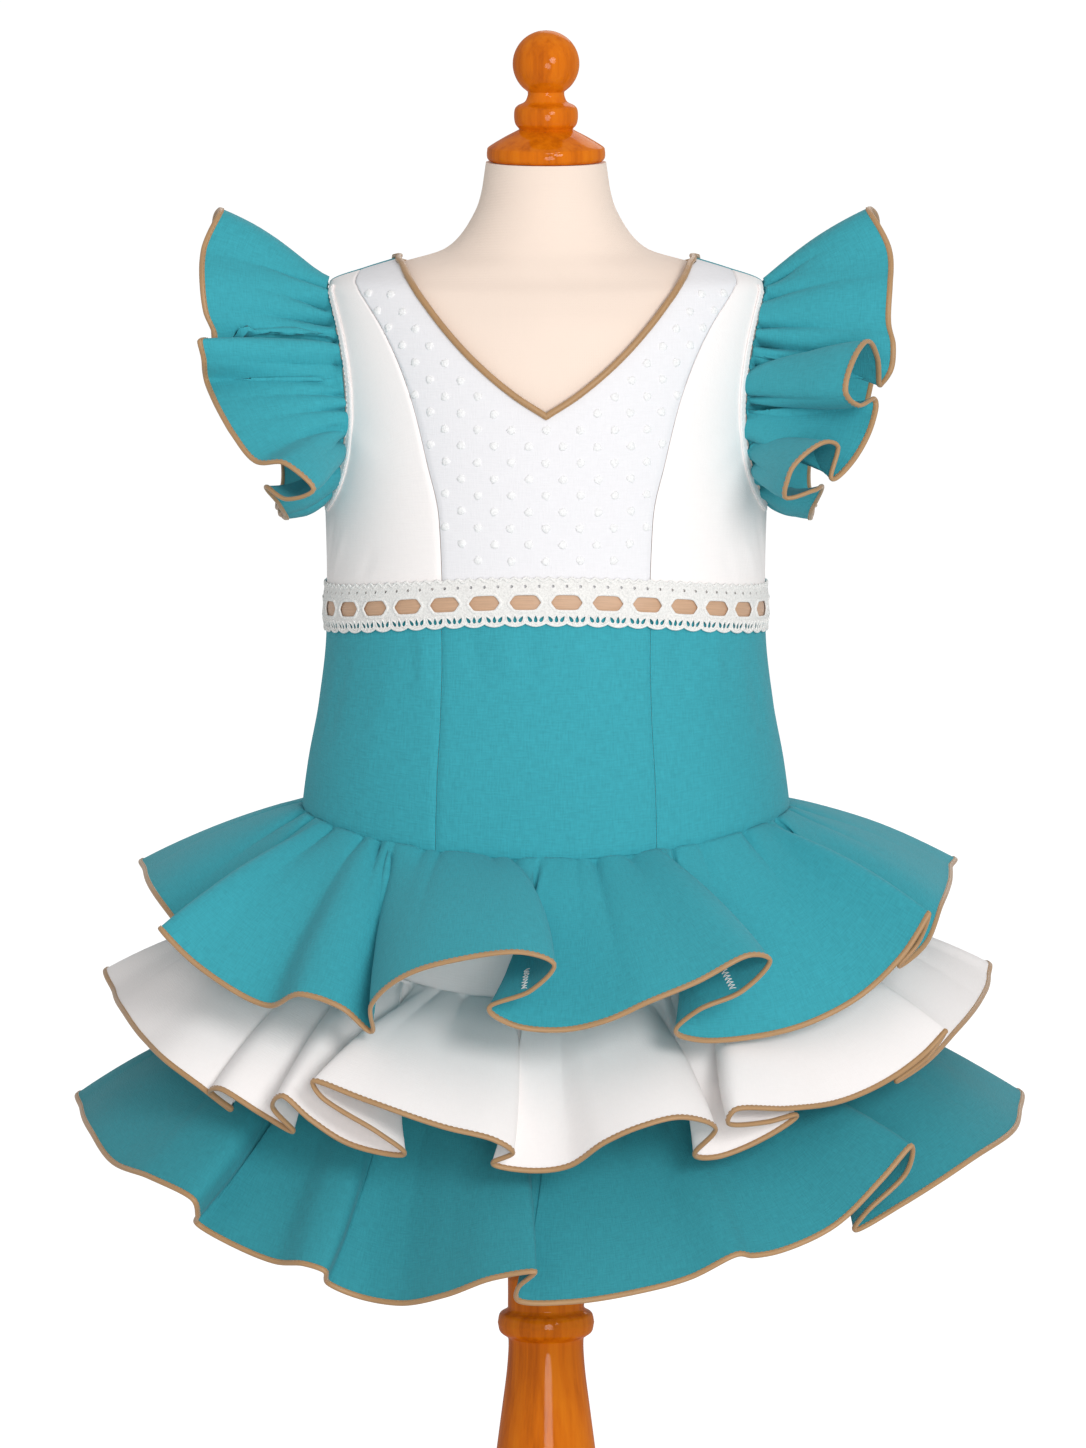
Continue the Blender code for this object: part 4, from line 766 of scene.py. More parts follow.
def shell(name, grid, finish, closed=False, thick=CLOTH, scale=None):
    """A thin closed wall behind a grid. The scale is the cloth's width and height, for its UV."""
    rows, columns = grid.shape[:2]
    inner = grid - thick * grid_normals(grid, closed)
    quads, corners = grid_quads(rows, columns, closed)
    along = lengths(np.concatenate([grid, grid[:, :1]], axis=1) if closed else grid, 1)
    up = lengths(grid, 0)
    if scale is not None:
        along, up = along * scale[0] / along[-1], up * scale[1] / up[-1]
    uv = np.stack([along[corners[..., 1]], up[corners[..., 0]]], -1)
    return wall(name, grid.reshape(-1, 3), inner.reshape(-1, 3), quads, uv, finish)


def tube(name, path, frames, section, finish):
    """A closed loop of tube: frames gives each path point's two cross directions."""
    across, out = frames
    ring = np.array(section)
    grid = np.stack([path + across * a + out * b for a, b in ring])
    rows, columns = grid.shape[:2]
    corners = cells(rows, columns, TUBE_CORNERS)
    quads = corners[..., 0] % rows * columns + corners[..., 1] % columns
    size = np.array([loop_length(path), loop_length(ring)])
    uv = corners[..., ::-1] / np.array([columns, rows]) * size
    if (np.cross(across, out) * np.gradient(path, axis=0)).sum() < 0:
        quads, uv = quads[:, ::-1], uv[:, ::-1]
    return add_mesh(name, grid.reshape(-1, 3), [quads], finish, uv.reshape(-1, 2))


def oval(width, thickness, sides=10):
    """A rounded section, as half width and half thickness."""
    angles = np.linspace(0, math.tau, sides, endpoint=False)
    return [(width * math.cos(a), thickness * math.sin(a)) for a in angles]


def stitches(name, path, out, finish, pitch=STITCH_PITCH, length=STITCH_LENGTH, closed=True,
             radius=STITCH_RADIUS):
    """A row of short thread stitches that lie on a path of points with outward normals."""
    points, normals = (looped(path), looped(out)) if closed else (path, out)
    run = run_length(points)
    count = int(run[-1] / pitch)
    middles = (np.arange(count) + 0.5) * run[-1] / count
    at = (middles[:, None] + STITCH_RINGS[:, 0] * length) % run[-1]
    normal = unit(along_run(at, run, normals))
    centre = along_run(at, run, points) + normal * (STITCH_RINGS[:, 1:] * radius)
    side = np.cross(unit(centre[:, -1] - centre[:, 0])[:, None, :], normal)
    verts = np.stack([centre + radius * (c * side + s * normal)
                      for c, s in oval(1, 1, STITCH_SIDES)], 2)
    rings, sides = verts.shape[1:3]
    base = np.arange(count)[:, None, None] * rings * sides
    corners = cells(rings - 1, sides, TUBE_CORNERS)
    quads = base + corners[..., 0] * sides + corners[..., 1] % sides
    ends = base + np.array([range(sides), range(rings * sides - 1, (rings - 1) * sides - 1, -1)])
    faces = (quads.reshape(-1, 4), ends.reshape(-1, sides))
    return add_mesh(name, verts.reshape(-1, 3), faces, finish)


def smooth_noise(count, period, seed):
    """A closed, smooth random wave with about count / period bumps, from -1 to 1."""
    generator = np.random.default_rng(seed)
    knots = max(4, int(count / period))
    values = generator.uniform(-1, 1, knots)
    at = np.linspace(0, knots, count, endpoint=False)
    i = at.astype(int)
    t = at - i
    t = t * t * (3 - 2 * t)
    return values[i % knots] * (1 - t) + values[(i + 1) % knots] * t


# The dress

def panel_chart(left, right, columns, foot=None):
    """Bearing and height from one path to another; the foot row follows a seam's curve."""
    share = np.linspace(0, 1, columns)[None, :, None]
    chart = left[:, None, :] * (1 - share) + right[:, None, :] * share
    if foot is not None:
        fade = np.clip(1 - np.arange(len(left)) / (FOOT_SHARE * len(left)), 0, 1)[:, None]
        chart[..., 1] += (foot(chart[:1, :, 0]) - chart[:1, :, 1]) * fade
    return chart


def spacing(grid):
    """Mean distance between a grid's rows, and between its columns."""
    up = np.linalg.norm(np.diff(grid, axis=0), axis=-1).mean()
    along = np.linalg.norm(np.diff(grid, axis=1), axis=-1).mean()
    return up, along


def turned_in(grid):
    """How far a panel's edge sinks into its seams, for each grid point."""
    rows, columns = grid.shape[:2]
    up, along = spacing(grid)
    return seam_sink(from_ends(rows)[:, None] * up, from_ends(columns) * along)


def seam_sink(up, along):
    """How far cloth sinks at the given distances up and along from its seams."""
    return -SEAM_SINK * np.clip(1 - np.minimum(up, along) / SEAM_ROLL, 0, 1) ** 2


def soft_creases(chart, rows):
    """Soft troughs and ridges. Each row is a line on the cloth, its width and its height."""
    lift = np.zeros(chart.shape[:2])
    scale = np.array([METRES_PER_DEGREE, 1.0])
    for b0, z0, b1, z1, width, rise in rows:
        start, line = np.array([b0, z0]) * scale, np.array([b1 - b0, z1 - z0]) * scale
        place = chart * scale - start
        share = (place @ line) / (line @ line)
        off = np.linalg.norm(place - np.clip(share, 0, 1)[..., None] * line, axis=-1)
        fade = np.clip(1 - np.clip(np.abs(share - 0.5) * 2, 0, 1) ** 2, 0, 1)
        lift += rise * fade * np.exp(-(off / width) ** 2)
    return lift


def cloth_panel(name, chart, finish, creases):
    """One sewn panel of the bodice or hip, drawn over its solid at a chart of its points."""
    grid = body_surface(chart[..., 0], chart[..., 1])
    shrink = 1 - PANEL_GAP / (spacing(grid)[1] * (chart.shape[1] - 1))
    middle = (chart[:, :1] + chart[:, -1:]) / 2
    chart = middle + (chart - middle) * np.array([shrink, 1.0])
    grid = body_point(chart, turned_in(grid) + soft_creases(chart, creases))
    piece = shell(f"{name}_cloth", grid, finish)
    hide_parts(name)


def side_path(rows, toward_back):
    """Up the side seam from the waist and round one edge of the armhole to the shoulder."""
    up = rows // 4
    turns = np.linspace(180, 360, rows - up) if toward_back else np.linspace(180, 0, rows - up)
    bearing, height = armhole_edge(turns)
    side = np.stack([np.full(up, 90.0), np.linspace(WAIST_SIDE, UNDERARM, up + 1)[:-1]], -1)
    return np.concatenate([side, np.stack([bearing, height], -1)])


def build_closure(thread):
    """Two rows of stitches beside the concealed closure of the centre back."""
    height = np.linspace(*CLOSURE_HEIGHTS, CLOSURE_POINTS)
    rows = []
    for side in (1, 2):
        bearing = np.full(CLOSURE_POINTS, 180.0 - CLOSURE_HALF * side)
        rows.append(stitches(f"back_closure_stitches_{side}", body_surface(bearing, height),
                             body_normal(bearing, height), thread, closed=False))
    return rows


def straight(bearing, low, high, count):
    """A path straight up the body."""
    return np.stack([np.full(count, bearing), np.linspace(low, high, count)], -1)


def build_bodice(white, dotted, teal, teal_thread):
    rows, below, back_below = (share * PANEL_FINENESS + 1 for share in (12, 6, 8))
    princess = along_path(PRINCESS_SEAM, rows)
    princess[0, 1] = waist_height(princess[0, 0])
    inner_edge = np.concatenate([straight(0.0, WAIST_FRONT, FRONT_NECKLINE[0][1], below),
                                 along_path(FRONT_NECKLINE, rows - below + 1)[1:]])
    build_front_centre(dotted, inner_edge, princess, below)
    back_inner = np.concatenate([straight(180.0, WAIST_BACK, BACK_NECKLINE[0][1], back_below),
                                 along_path(BACK_NECKLINE, rows - back_below + 1)[1:]])
    mirrored_creases = [(-b0, z0, -b1, z1, width, rise)
                        for b0, z0, b1, z1, width, rise in CREASES_BACK]
    for place, left, right, columns, finish, creases in (
            ("front_right", princess, side_path(rows, False), 60, white, CREASES_RIGHT),
            ("front_left", side_path(rows, False), princess, 60, white, CREASES_LEFT),
            ("back_right", side_path(rows, True), back_inner, 70, teal, CREASES_BACK),
            ("back_left", back_inner, side_path(rows, True), 70, teal, mirrored_creases)):
        if place.endswith("left"):
            left, right = mirrored(left), mirrored(right)
        sewn = build_closure(teal_thread) if place == "back_right" else ()
        chart = panel_chart(left, right, columns, waist_height)
        cloth_panel(f"bodice_{place}", chart, finish, creases)


def build_front_centre(finish, inner_edge, outer_edge, below):
    """The dotted front: one piece up to the point of the V, and a strap on each side of it."""
    across, rows = FRONT_COLUMNS, len(inner_edge)
    chart = panel_chart(inner_edge, outer_edge, across, waist_height)
    grid = body_surface(chart[..., 0], chart[..., 1])
    up, along = spacing(grid)
    lift = seam_sink(from_ends(rows)[:, None] * up, np.arange(across)[::-1] * along)
    chart[..., 0] -= PANEL_GAP / METRES_PER_DEGREE * np.linspace(0, 1, across) ** 8
    lift = lift + soft_creases(chart, CREASES_CENTRE)
    halves = (chart, mirrored(chart))
    outer = np.concatenate([body_point(half, lift).reshape(-1, 3) for half in halves])
    normals = np.concatenate([body_normal(half[..., 0], half[..., 1]).reshape(-1, 3)
                              for half in halves])
    place = np.concatenate([half.reshape(-1, 2) for half in halves])
    place = place * np.array([METRES_PER_DEGREE, 1.0])
    right = np.arange(rows * across).reshape(rows, across)
    left = right + rows * across
    left[:below, 0] = right[:below, 0]
    quads = np.concatenate([
        np.stack([index[:-1, :-1], index[:-1, 1:], index[1:, 1:], index[1:, :-1]], -1)
        .reshape(-1, 4)[:, ::turn] for index, turn in ((right, 1), (left, -1))])
    used, quads = np.unique(quads, return_inverse=True)
    quads = quads.reshape(-1, 4)
    outer, normals, place = outer[used], normals[used], place[used]
    piece = wall("bodice_front_centre_cloth", outer, outer - CLOTH * normals, quads, place[quads],
                 finish)
    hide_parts("bodice_front_centre")
    build_tufts()


def build_tufts():
    """The small raised dots of the dotted front, in rows set between each other."""
    rings, sides = len(TUFT_RINGS), TUFT_SIDES
    chart = []
    for k, height in enumerate(np.arange(TUFT_LOWEST, TUFT_HIGHEST, TUFT_ROW)):
        seam = np.interp(height, [z for _, z in PRINCESS_SEAM], [b for b, _ in PRINCESS_SEAM])
        neck = np.interp(height, [z for _, z in FRONT_NECKLINE], [b for b, _ in FRONT_NECKLINE],
                         left=0.0)
        for step in range(-9, 10):
            bearing = (step + 0.5 * (k % 2)) * TUFT_COLUMN / METRES_PER_DEGREE
            past_neck = neck == 0.0 or neck + TUFT_CLEARANCE < abs(bearing)
            if past_neck and abs(bearing) < seam - TUFT_CLEARANCE:
                chart.append((bearing, height))
    chart = np.array(chart) + RANDOM.normal(0, 1, (len(chart), 2)) * np.array(TUFT_STRAY)
    centre, normal = body_point(chart, np.zeros(len(chart))), body_normal(chart[:, 0], chart[:, 1])
    along = unit(np.cross(np.array([0.0, 0.0, 1.0]), normal))
    up = np.cross(normal, along)
    tilt = RANDOM.uniform(0, math.tau, len(chart))
    points = []
    for share, rise in TUFT_RINGS:
        for s in range(sides):
            angle = math.tau * s / sides
            rough = 1 + 0.10 * np.sin(3 * angle + tilt) + 0.06 * np.sin(5 * angle - 2 * tilt)
            reach = (TUFT_SIZE / 2 * share * rough)[:, None]
            points.append(centre + reach * (math.cos(angle) * along + math.sin(angle) * up)
                          + rise * normal)
    points += [centre + TUFT_TOP * normal, centre + TUFT_FOOT * normal]
    points = np.stack(points, 1)
    corners = cells(rings - 1, sides, CLOTH_CORNERS)
    top, last = rings * sides, (rings - 1) * sides
    caps = [(last + s, last + (s + 1) % sides, top) for s in range(sides)]
    caps += [((s + 1) % sides, s, top + 1) for s in range(sides)]
    base = np.arange(len(chart))[:, None, None] * points.shape[1]
    quads = (base + corners[..., 0] * sides + corners[..., 1] % sides).reshape(-1, 4)
    tris = (base + np.array(caps)).reshape(-1, 3)
    finish = cotton("tuft_cotton", TUFT)
    return add_mesh("plumeti_tufts", points.reshape(-1, 3), (quads, tris), finish)


def build_hips(teal):
    """The hip panels, whose tops and feet follow the curved waist and hip seams."""
    princess = np.linspace(HIP_PRINCESS_FOOT, HIP_PRINCESS_TOP, HIP_ROWS)
    side, back = np.full(HIP_ROWS, 90.0), np.full(HIP_ROWS, 180.0)
    for name, left, right, columns in (
            ("front_centre", -princess, princess, 50), ("front_right", princess, side, 58),
            ("front_left", -side, -princess, 58), ("back_right", side, back, 66),
            ("back_left", -back, -side, 66)):
        share = np.linspace(0, 1, columns)
        bearing = left[:, None] * (1 - share) + right[:, None] * share
        up = np.linspace(0, 1, HIP_ROWS)[:, None]
        low, high = hip_height(bearing) - HIP_OVERLAP, waist_height(bearing)
        chart = np.stack([bearing, low + (high - low) * up], -1)
        cloth_panel(f"hip_{name}", chart, teal, CREASES_HIP)


def ruffle_surface(top, hem, rows, swell):
    """Rows of points from the hem up to the seam, swelling out between them."""
    drop = hem - top
    along = np.roll(hem, -1, axis=0) - np.roll(hem, 1, axis=0)
    out = unit(np.cross(along, -drop))
    share = np.linspace(1, 0, rows)[:, None, None] ** ROW_CLUSTER
    return top + drop * share + out * swell * 4 * share * (1 - share)


def moved_clear(grid, lift):
    """The grid moved out by the lift, less where a tight fold would pass through itself."""
    normal = grid_normals(grid, True)
    step = np.roll(grid, -1, axis=1) - grid
    length = (step * step).sum(-1)
    share = np.ones(lift.shape)
    for _ in range(FOLD_ROUNDS):
        moved = grid + (lift * share)[..., None] * normal
        left = (step * (np.roll(moved, -1, axis=1) - moved)).sum(-1) / length
        tight = left < FOLD_SHARE
        share = np.where(tight | np.roll(tight, 1, axis=1), share * FOLD_EASE, share)
    share = np.min([np.roll(share, k, axis=1) for k in range(-4, 5)], axis=0)
    return grid + (lift * smoothed(share, 8, axis=1))[..., None] * normal


def gathered(grid, height, depth, width, seed):
    """The grid with creases that run down from its seam, each of its own length and sharpness."""
    generator = np.random.default_rng(seed)
    run = run_length(looped(grid[-1]))
    place, length = run[:-1], run[-1]
    fall = np.linalg.norm(grid - grid[-1], axis=-1)
    lift = GATHER_PUFF * height * np.exp(-fall / (GATHER_SOFT * depth))
    count = int(length / width)
    for k in range(count):
        middle = (k + generator.uniform(0.15, 0.85)) * length / count
        reach, narrow, sink = (generator.uniform(*GATHER_SPREAD, 3)
                               * (depth, GATHER_NARROW * width, height))
        beside = np.abs((place - middle + length / 2) % length - length / 2)
        lift -= sink * np.exp(-fall / reach - beside / (narrow * (1 + 0.6 * fall / reach)))
    start = np.clip(fall / GATHER_START, 0, 1)
    return moved_clear(grid, lift * start)


def rumpled(grid, height, width, seed):
    """The grid with broad, low unevenness, as hung cloth has."""
    rows, columns = grid.shape[:2]
    length = np.linalg.norm(np.diff(grid[0], axis=0), axis=-1).sum()
    period = width / length * columns
    layers = [smooth_noise(columns, period, seed + k) for k in range(4)]
    lift = []
    for place in np.linspace(0, 3, rows):
        below = min(int(place), 2)
        lift.append(layers[below] * (1 - (place - below)) + layers[below + 1] * (place - below))
    edge = np.clip(from_ends(rows) / (0.2 * rows), 0, 1)[:, None]
    return moved_clear(grid, height * np.stack(lift) * edge)


def hem_frame(grid):
    """The middle of a hem's edge, the direction past it, and its outward normal."""
    normal = grid_normals(grid, True)[0]
    return grid[0] - normal * CLOTH / 2, unit(grid[0] - grid[1]), normal


def hem_binding(name, grid, finish, node):
    """The satin binding that wraps a ruffle's hem."""
    edge, away, normal = hem_frame(grid)
    piece = tube(name, edge + away * BINDING_PAST_HEM, (away, normal),
                 oval(BINDING_WIDTH / 2, BINDING_THICKNESS / 2), finish)
    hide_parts(node)
    return piece


def hem_stitches(name, grid, thread):
    edge, away, normal = hem_frame(grid)
    edge = edge + away * (BINDING_PAST_HEM - 0.30 * BINDING_WIDTH)
    return stitches(name, edge + normal * (0.80 * BINDING_THICKNESS / 2), normal, thread)


def build_skirt(teal, white, teal_painted_shade, satin_finish, thread, white_thread):
    build_underskirt(white)
    # The bottom ruffle takes a copy of the teal that is darkened with painted shade.
    for (tier, bends, swell, gather, seed), finish in zip(SKIRT_RUFFLES, (teal, white, teal_painted_shade)):
        size = RUFFLE_SEAMS[tier]
        run = closed_spline(with_back_flutes(bends, BACK_FLUTES[tier]), SKIRT_WEIGHTS)
        run = spread(run, skirt_hem(size, run), RUFFLE_COLUMNS)
        top, _ = seam_point(size, run[:, 0])
        grid = ruffle_surface(top, skirt_hem(size, run), RUFFLE_ROWS, swell)
        grid = gathered(rumpled(grid, *SKIRT_RUMPLE, seed), gather, *SKIRT_GATHER, seed)
        tacks = [thread_tack(f"ruffle_tack_{column}", grid, column, white_thread)
                 for column in TACK_COLUMNS if tier == "top"]
        build_ruffle(f"ruffle_{tier}", grid, finish, f"binding_{tier}", satin_finish, thread)


def thread_tack(name, grid, column, thread):
    """A zigzag tack of thread, up the inner face of a ruffle from its hem."""
    line = grid[:, column]
    normal, beside = -grid_normals(grid, True)[:, column], unit(grid[:, column + 1] - line)
    turns = np.arange(TACK_TURNS)
    place, out, across = (along_run(TACK_START + turns * TACK_STEP, run_length(line), values)
                          for values in (line, normal, beside))
    swing = np.where(turns % 2, 0.5, -0.5)[:, None] * TACK_WIDTH
    path = place + out * (CLOTH + TACK_LIFT) + across * swing
    span = np.linalg.norm(path[1] - path[0])
    return stitches(name, path, out, thread, span, 0.98 * span, False, TACK_RADIUS)


def build_ruffle(name, grid, finish, binding_node, satin_finish, thread):
    hem, depth, area = ruffle_size(grid)
    piece = shell(f"{name}_cloth", grid, finish, closed=True, scale=(hem, depth))
    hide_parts(name)
    bound = hem_binding(f"{binding_node}_satin", grid, satin_finish, binding_node)
    sewn = hem_stitches(f"{binding_node}_stitches", grid, thread)


def ruffle_size(grid):
    """Length of a ruffle's hem, how deep it hangs at most, and its flat area."""
    hem = loop_length(grid[0])
    depth = np.linalg.norm(np.diff(grid, axis=0), axis=-1).sum(0).max()
    return hem, depth, (hem + loop_length(grid[-1])) / 2 * depth


def build_underskirt(white):
    """The plain skirt that carries the middle and bottom ruffles."""
    bearing = np.linspace(-180, 180, SKIRT_COLUMNS, endpoint=False)
    top, middle, foot = (seam_point(RUFFLE_SEAMS[tier], bearing, UNDERSKIRT_INSET)[0]
                         for tier in ("top", "middle", "bottom"))
    foot[:, :2] *= 1 + UNDERSKIRT_SLOPE * UNDERSKIRT_TUCK / RUFFLE_SEAMS["bottom"][0]
    foot[:, 2] -= UNDERSKIRT_TUCK
    up = np.linspace(0, 1, SKIRT_ROWS)[:, None, None]
    grid = np.concatenate([foot + (middle - foot) * up, (middle + (top - middle) * up)[1:]])
    piece = shell("underskirt_cloth", grid, white, closed=True)
    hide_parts("underskirt")


def build_sleeves(teal, satin_finish, thread):
    for name, side, bends, seed in (("left", -1.0, SLEEVE_LEFT_BENDS, 51),
                                    ("right", 1.0, SLEEVE_RIGHT_BENDS, 67)):
        run = closed_spline(bends + SLEEVE_BACK_BENDS, SLEEVE_WEIGHTS)
        run = spread(run, sleeve_hem(side, run), SLEEVE_COLUMNS)
        bearing, height = armhole_edge(run[:, 0])
        top = body_surface(bearing, height, SLEEVE_SEAM_LIFT) * np.array([side, 1.0, 1.0])
        toward = (top.mean(axis=0) - top) * np.array([0.0, 1.0, 1.0])
        top = top + unit(toward) * SLEEVE_SEAM_INSET
        hem = sleeve_hem(side, run)
        if side > 0:
            top, hem = top[::-1], hem[::-1]
        grid = ruffle_surface(top, hem, SLEEVE_ROWS, SLEEVE_SWELL)
        grid = gathered(rumpled(grid, *SLEEVE_RUMPLE, seed), *SLEEVE_GATHER, seed)
        build_ruffle(f"sleeve_ruffle_{name}", grid, teal, f"sleeve_binding_{name}", satin_finish,
                     thread)


def build_armhole_bands(white, thread):
    """The stitched strip along the front edge of each armhole."""
    bearing, height = armhole_edge(np.linspace(*ARMHOLE_BAND_TURNS, BAND_ROWS))
    edge = np.stack([bearing, height], -1)
    degree = np.array([METRES_PER_DEGREE, 1.0])
    along = unit(np.gradient(edge * degree, axis=0))
    away = np.stack([-along[:, 1], along[:, 0]], -1)
    edge = edge + away * ARMHOLE_BAND_INSET / degree
    inner_edge = edge + away * ARMHOLE_BAND_WIDTH / degree
    crown = ARMHOLE_BAND_CROWN * (1 - np.linspace(-1, 1, BAND_COLUMNS)**4)
    length = run_length(body_surface(edge[:, 0], edge[:, 1]))[-1]
    for name, left, right in (("right", inner_edge, edge),
                              ("left", mirrored(edge), mirrored(inner_edge))):
        chart = panel_chart(left, right, BAND_COLUMNS)
        lift = np.broadcast_to(ARMHOLE_BAND_LIFT + crown, chart.shape[:2])
        piece = shell(f"armhole_band_{name}_cloth", body_point(chart, lift), white)
        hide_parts(f"armhole_band_{name}")
        for k, place in enumerate(ARMHOLE_BAND_STITCHES):
            line = left * (1 - place) + right * place
            path = body_point(line, np.full(BAND_ROWS, ARMHOLE_BAND_LIFT + ARMHOLE_BAND_CROWN))
            stitches(f"armhole_band_{name}_stitches_{k + 1}", path,
                                  body_normal(line[:, 0], line[:, 1]), thread, closed=False)


def neckline_run(count_front, count_back):
    """Bearing and height all round the neckline, from the point of the V."""
    front = along_path(FRONT_NECKLINE, count_front)
    back = along_path(BACK_NECKLINE, count_back)[::-1]
    right = np.concatenate([front, back[1:]])
    left = mirrored(right[1:-1][::-1]) + np.array([360.0, 0.0])
    return np.concatenate([right, left])


def loop_direction(points):
    """Unit directions along a closed row of points."""
    return unit(np.roll(points, -1, axis=0) - np.roll(points, 1, axis=0))


def build_neck_binding(satin_finish, thread):
    """The rolled binding that finishes the neckline."""
    run = neckline_run(*NECK_POINTS)
    centre = body_surface(run[:, 0], run[:, 1], -0.0001)
    normal = unit(smoothed(body_normal(run[:, 0], run[:, 1]), 40))
    across = np.cross(normal, loop_direction(centre))
    centre = smoothed(centre + across * NECK_BINDING_IN + normal * NECK_BINDING_OUT, 16, (0,))
    across = unit(np.cross(normal, loop_direction(centre)))
    section = oval(NECK_BINDING_WIDTH / 2, NECK_BINDING_THICKNESS / 2)
    piece = tube("neck_binding_satin", centre, (across, normal), section, satin_finish)
    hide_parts("neck_binding")
    line = centre - across * NECK_STITCH_IN + normal * NECK_STITCH_OUT
    return [piece, stitches("neck_binding_stitches", line, normal, thread)]


# Lace and ribbon. Places on the band are a length round the waist and a rise from its seam.

def lace_point(bearing, rise, offset):
    return body_surface(bearing, waist_height(bearing) + rise, offset)


def lace_lift(rise):
    """How far the lace stands off the cloth, which is less past the ribbon's edges."""
    past = np.clip((np.abs(rise) - LACE_EASE[0]) / LACE_EASE[1], 0, 1)
    return LACE_LIFT - LACE_DROP * past * past * (3 - 2 * past)


def waist_table():
    """Bearings round the waist and the length along the seam at each, from the centre front."""
    bearing = np.linspace(-180, 180, 1441)
    ring = lace_point(bearing, 0.0, 0.0)
    run = run_length(ring)
    return bearing, run - run[len(run) // 2]


WAIST_BEARINGS, WAIST_RUN = waist_table()
GIRTH = WAIST_RUN[-1] - WAIST_RUN[0]
PITCH = GIRTH / (WINDOWS_FRONT + WINDOWS_BACK)


def on_band(place, lift):
    """Points of the lace at places on the band, and their outward normals."""
    length = (place[..., 0] - WAIST_RUN[0]) % GIRTH + WAIST_RUN[0]
    bearing = np.interp(length, WAIST_RUN, WAIST_BEARINGS)
    point = lace_point(bearing, place[..., 1], lift)
    normal = body_normal(bearing, waist_height(bearing) + place[..., 1])
    return point, normal


def hexagon(points_a_side=8):
    """The outline of a ribbon window, round at its corners."""
    reach, shoulder, tall = WINDOW_WIDTH / 2, WINDOW_SHOULDER / 2, WINDOW_HEIGHT / 2
    corners = np.array([(-reach, 0.0), (-shoulder, -tall), (shoulder, -tall), (reach, 0.0),
                        (shoulder, tall), (-shoulder, tall)])
    share = np.linspace(0, 1, points_a_side, endpoint=False)[:, None]
    line = np.concatenate([a + (b - a) * share for a, b in zip(corners, np.roll(corners, -1, 0))])
    return smoothed(line, 3)


def teardrop(centre, lean, size, count=14):
    """A leaning drop-shaped eyelet, pointed at its top."""
    angle = np.linspace(0, math.tau, count, endpoint=False)
    x = 0.36 * size * np.sin(angle) * np.sin(angle / 2)
    y = 0.5 * size * np.cos(angle)
    turn = math.radians(lean)
    return np.stack([centre[0] + x * math.cos(turn) - y * math.sin(turn),
                     centre[1] + x * math.sin(turn) + y * math.cos(turn)], -1)


def ring_of(centre, radius, count=8):
    angle = np.linspace(0, math.tau, count, endpoint=False)
    return np.stack([centre[0] + radius * np.cos(angle), centre[1] + radius * np.sin(angle)], -1)


def scalloped(x):
    """Height of the lace's lower edge: two scallops to a window."""
    scallop = np.abs(np.sin(2 * math.pi * (x + PITCH / 2) / PITCH)) ** 0.7
    return -LACE_HEIGHT / 2 + SCALLOP_DEPTH * (1 - scallop)


def lace_holes():
    """Outlines of the holes in one window's square of lace: the drops and the round pins."""
    drops = [teardrop((side * (PITCH / 4 + x), DROP_RISE), -lean * side, DROP_SIZE)
             for side in (-1, 1) for x, lean in DROPS]
    pins = [ring_of((x, PIN_RISE), PIN_RADIUS)
            for x in PITCH * ((np.arange(PIN_COUNT) + 0.5) / PIN_COUNT - 0.5)]
    return drops, pins


def lace_square():
    """One window's square of lace as flat points and triangles, cut through by its holes."""
    drops, pins = lace_holes()
    x = np.linspace(-PITCH / 2, PITCH / 2, SQUARE_COLUMNS)
    foot, top = scalloped(x[:1])[0], LACE_HEIGHT / 2
    rise = foot + (top - foot) * np.linspace(0, 1, SQUARE_ROWS + 2)[1:-1]
    outline = np.concatenate([np.stack([x, scalloped(x)], -1),
                              np.stack([np.full(SQUARE_ROWS, PITCH / 2), rise], -1),
                              np.stack([x[::-1], np.full(SQUARE_COLUMNS, top)], -1),
                              np.stack([np.full(SQUARE_ROWS, -PITCH / 2), rise[::-1]], -1)])
    loops = [outline, hexagon(), *drops, *pins]
    points, edges = [], []
    for loop in loops:
        first = len(points)
        points += [Vector(p) for p in loop]
        edges += [(first + i, first + (i + 1) % len(loop)) for i in range(len(loop))]
    found = delaunay_2d_cdt(points, edges, [], 1, 1e-7)
    verts, tris = np.array([tuple(v) for v in found[0]]), np.array([tuple(f) for f in found[2]])
    middles = verts[tris].mean(axis=1)
    keep = inside(middles, outline)
    for loop in loops[1:]:
        keep &= ~inside(middles, loop)
    return verts, tris[keep]


def inside(places, loop):
    """Which places lie inside a closed outline."""
    x, y = places[:, :1], places[:, 1:]
    a, b = loop, np.roll(loop, -1, axis=0)
    crosses = (a[:, 1] > y) != (b[:, 1] > y)
    with np.errstate(divide="ignore", invalid="ignore"):
        at = a[:, 0] + (y - a[:, 1]) / (b[:, 1] - a[:, 1]) * (b[:, 0] - a[:, 0])
    return (crosses & (x < at)).sum(axis=1) % 2 == 1


def band_tube(name, loops, width, thickness, finish, closed, sides):
    """Raised edges that follow outlines on the band, all in one mesh."""
    points, quads, uvs, first = [], [], [], 0
    ring = oval(width / 2, thickness / 2, sides)
    for loop in loops:
        count = len(loop)
        path, normal = on_band(loop, lace_lift(loop[:, 1]))
        along = loop_direction(path) if closed else unit(np.gradient(path, axis=0))
        across = np.cross(normal, along)
        points.append(np.stack([path + across * a + normal * b for a, b in ring], 1).reshape(-1, 3))
        corners = cells(count if closed else count - 1, sides, TUBE_CORNERS)
        quads.append(first + corners[..., 0] % count * sides + corners[..., 1] % sides)
        step = np.linalg.norm(np.diff(path, axis=0), axis=1).mean()
        uvs.append(corners * np.array([step, 2 * width / sides]))
        first += count * sides
    return add_mesh(name, np.concatenate(points), [np.concatenate(quads)], finish,
                    np.concatenate(uvs).reshape(-1, 2))


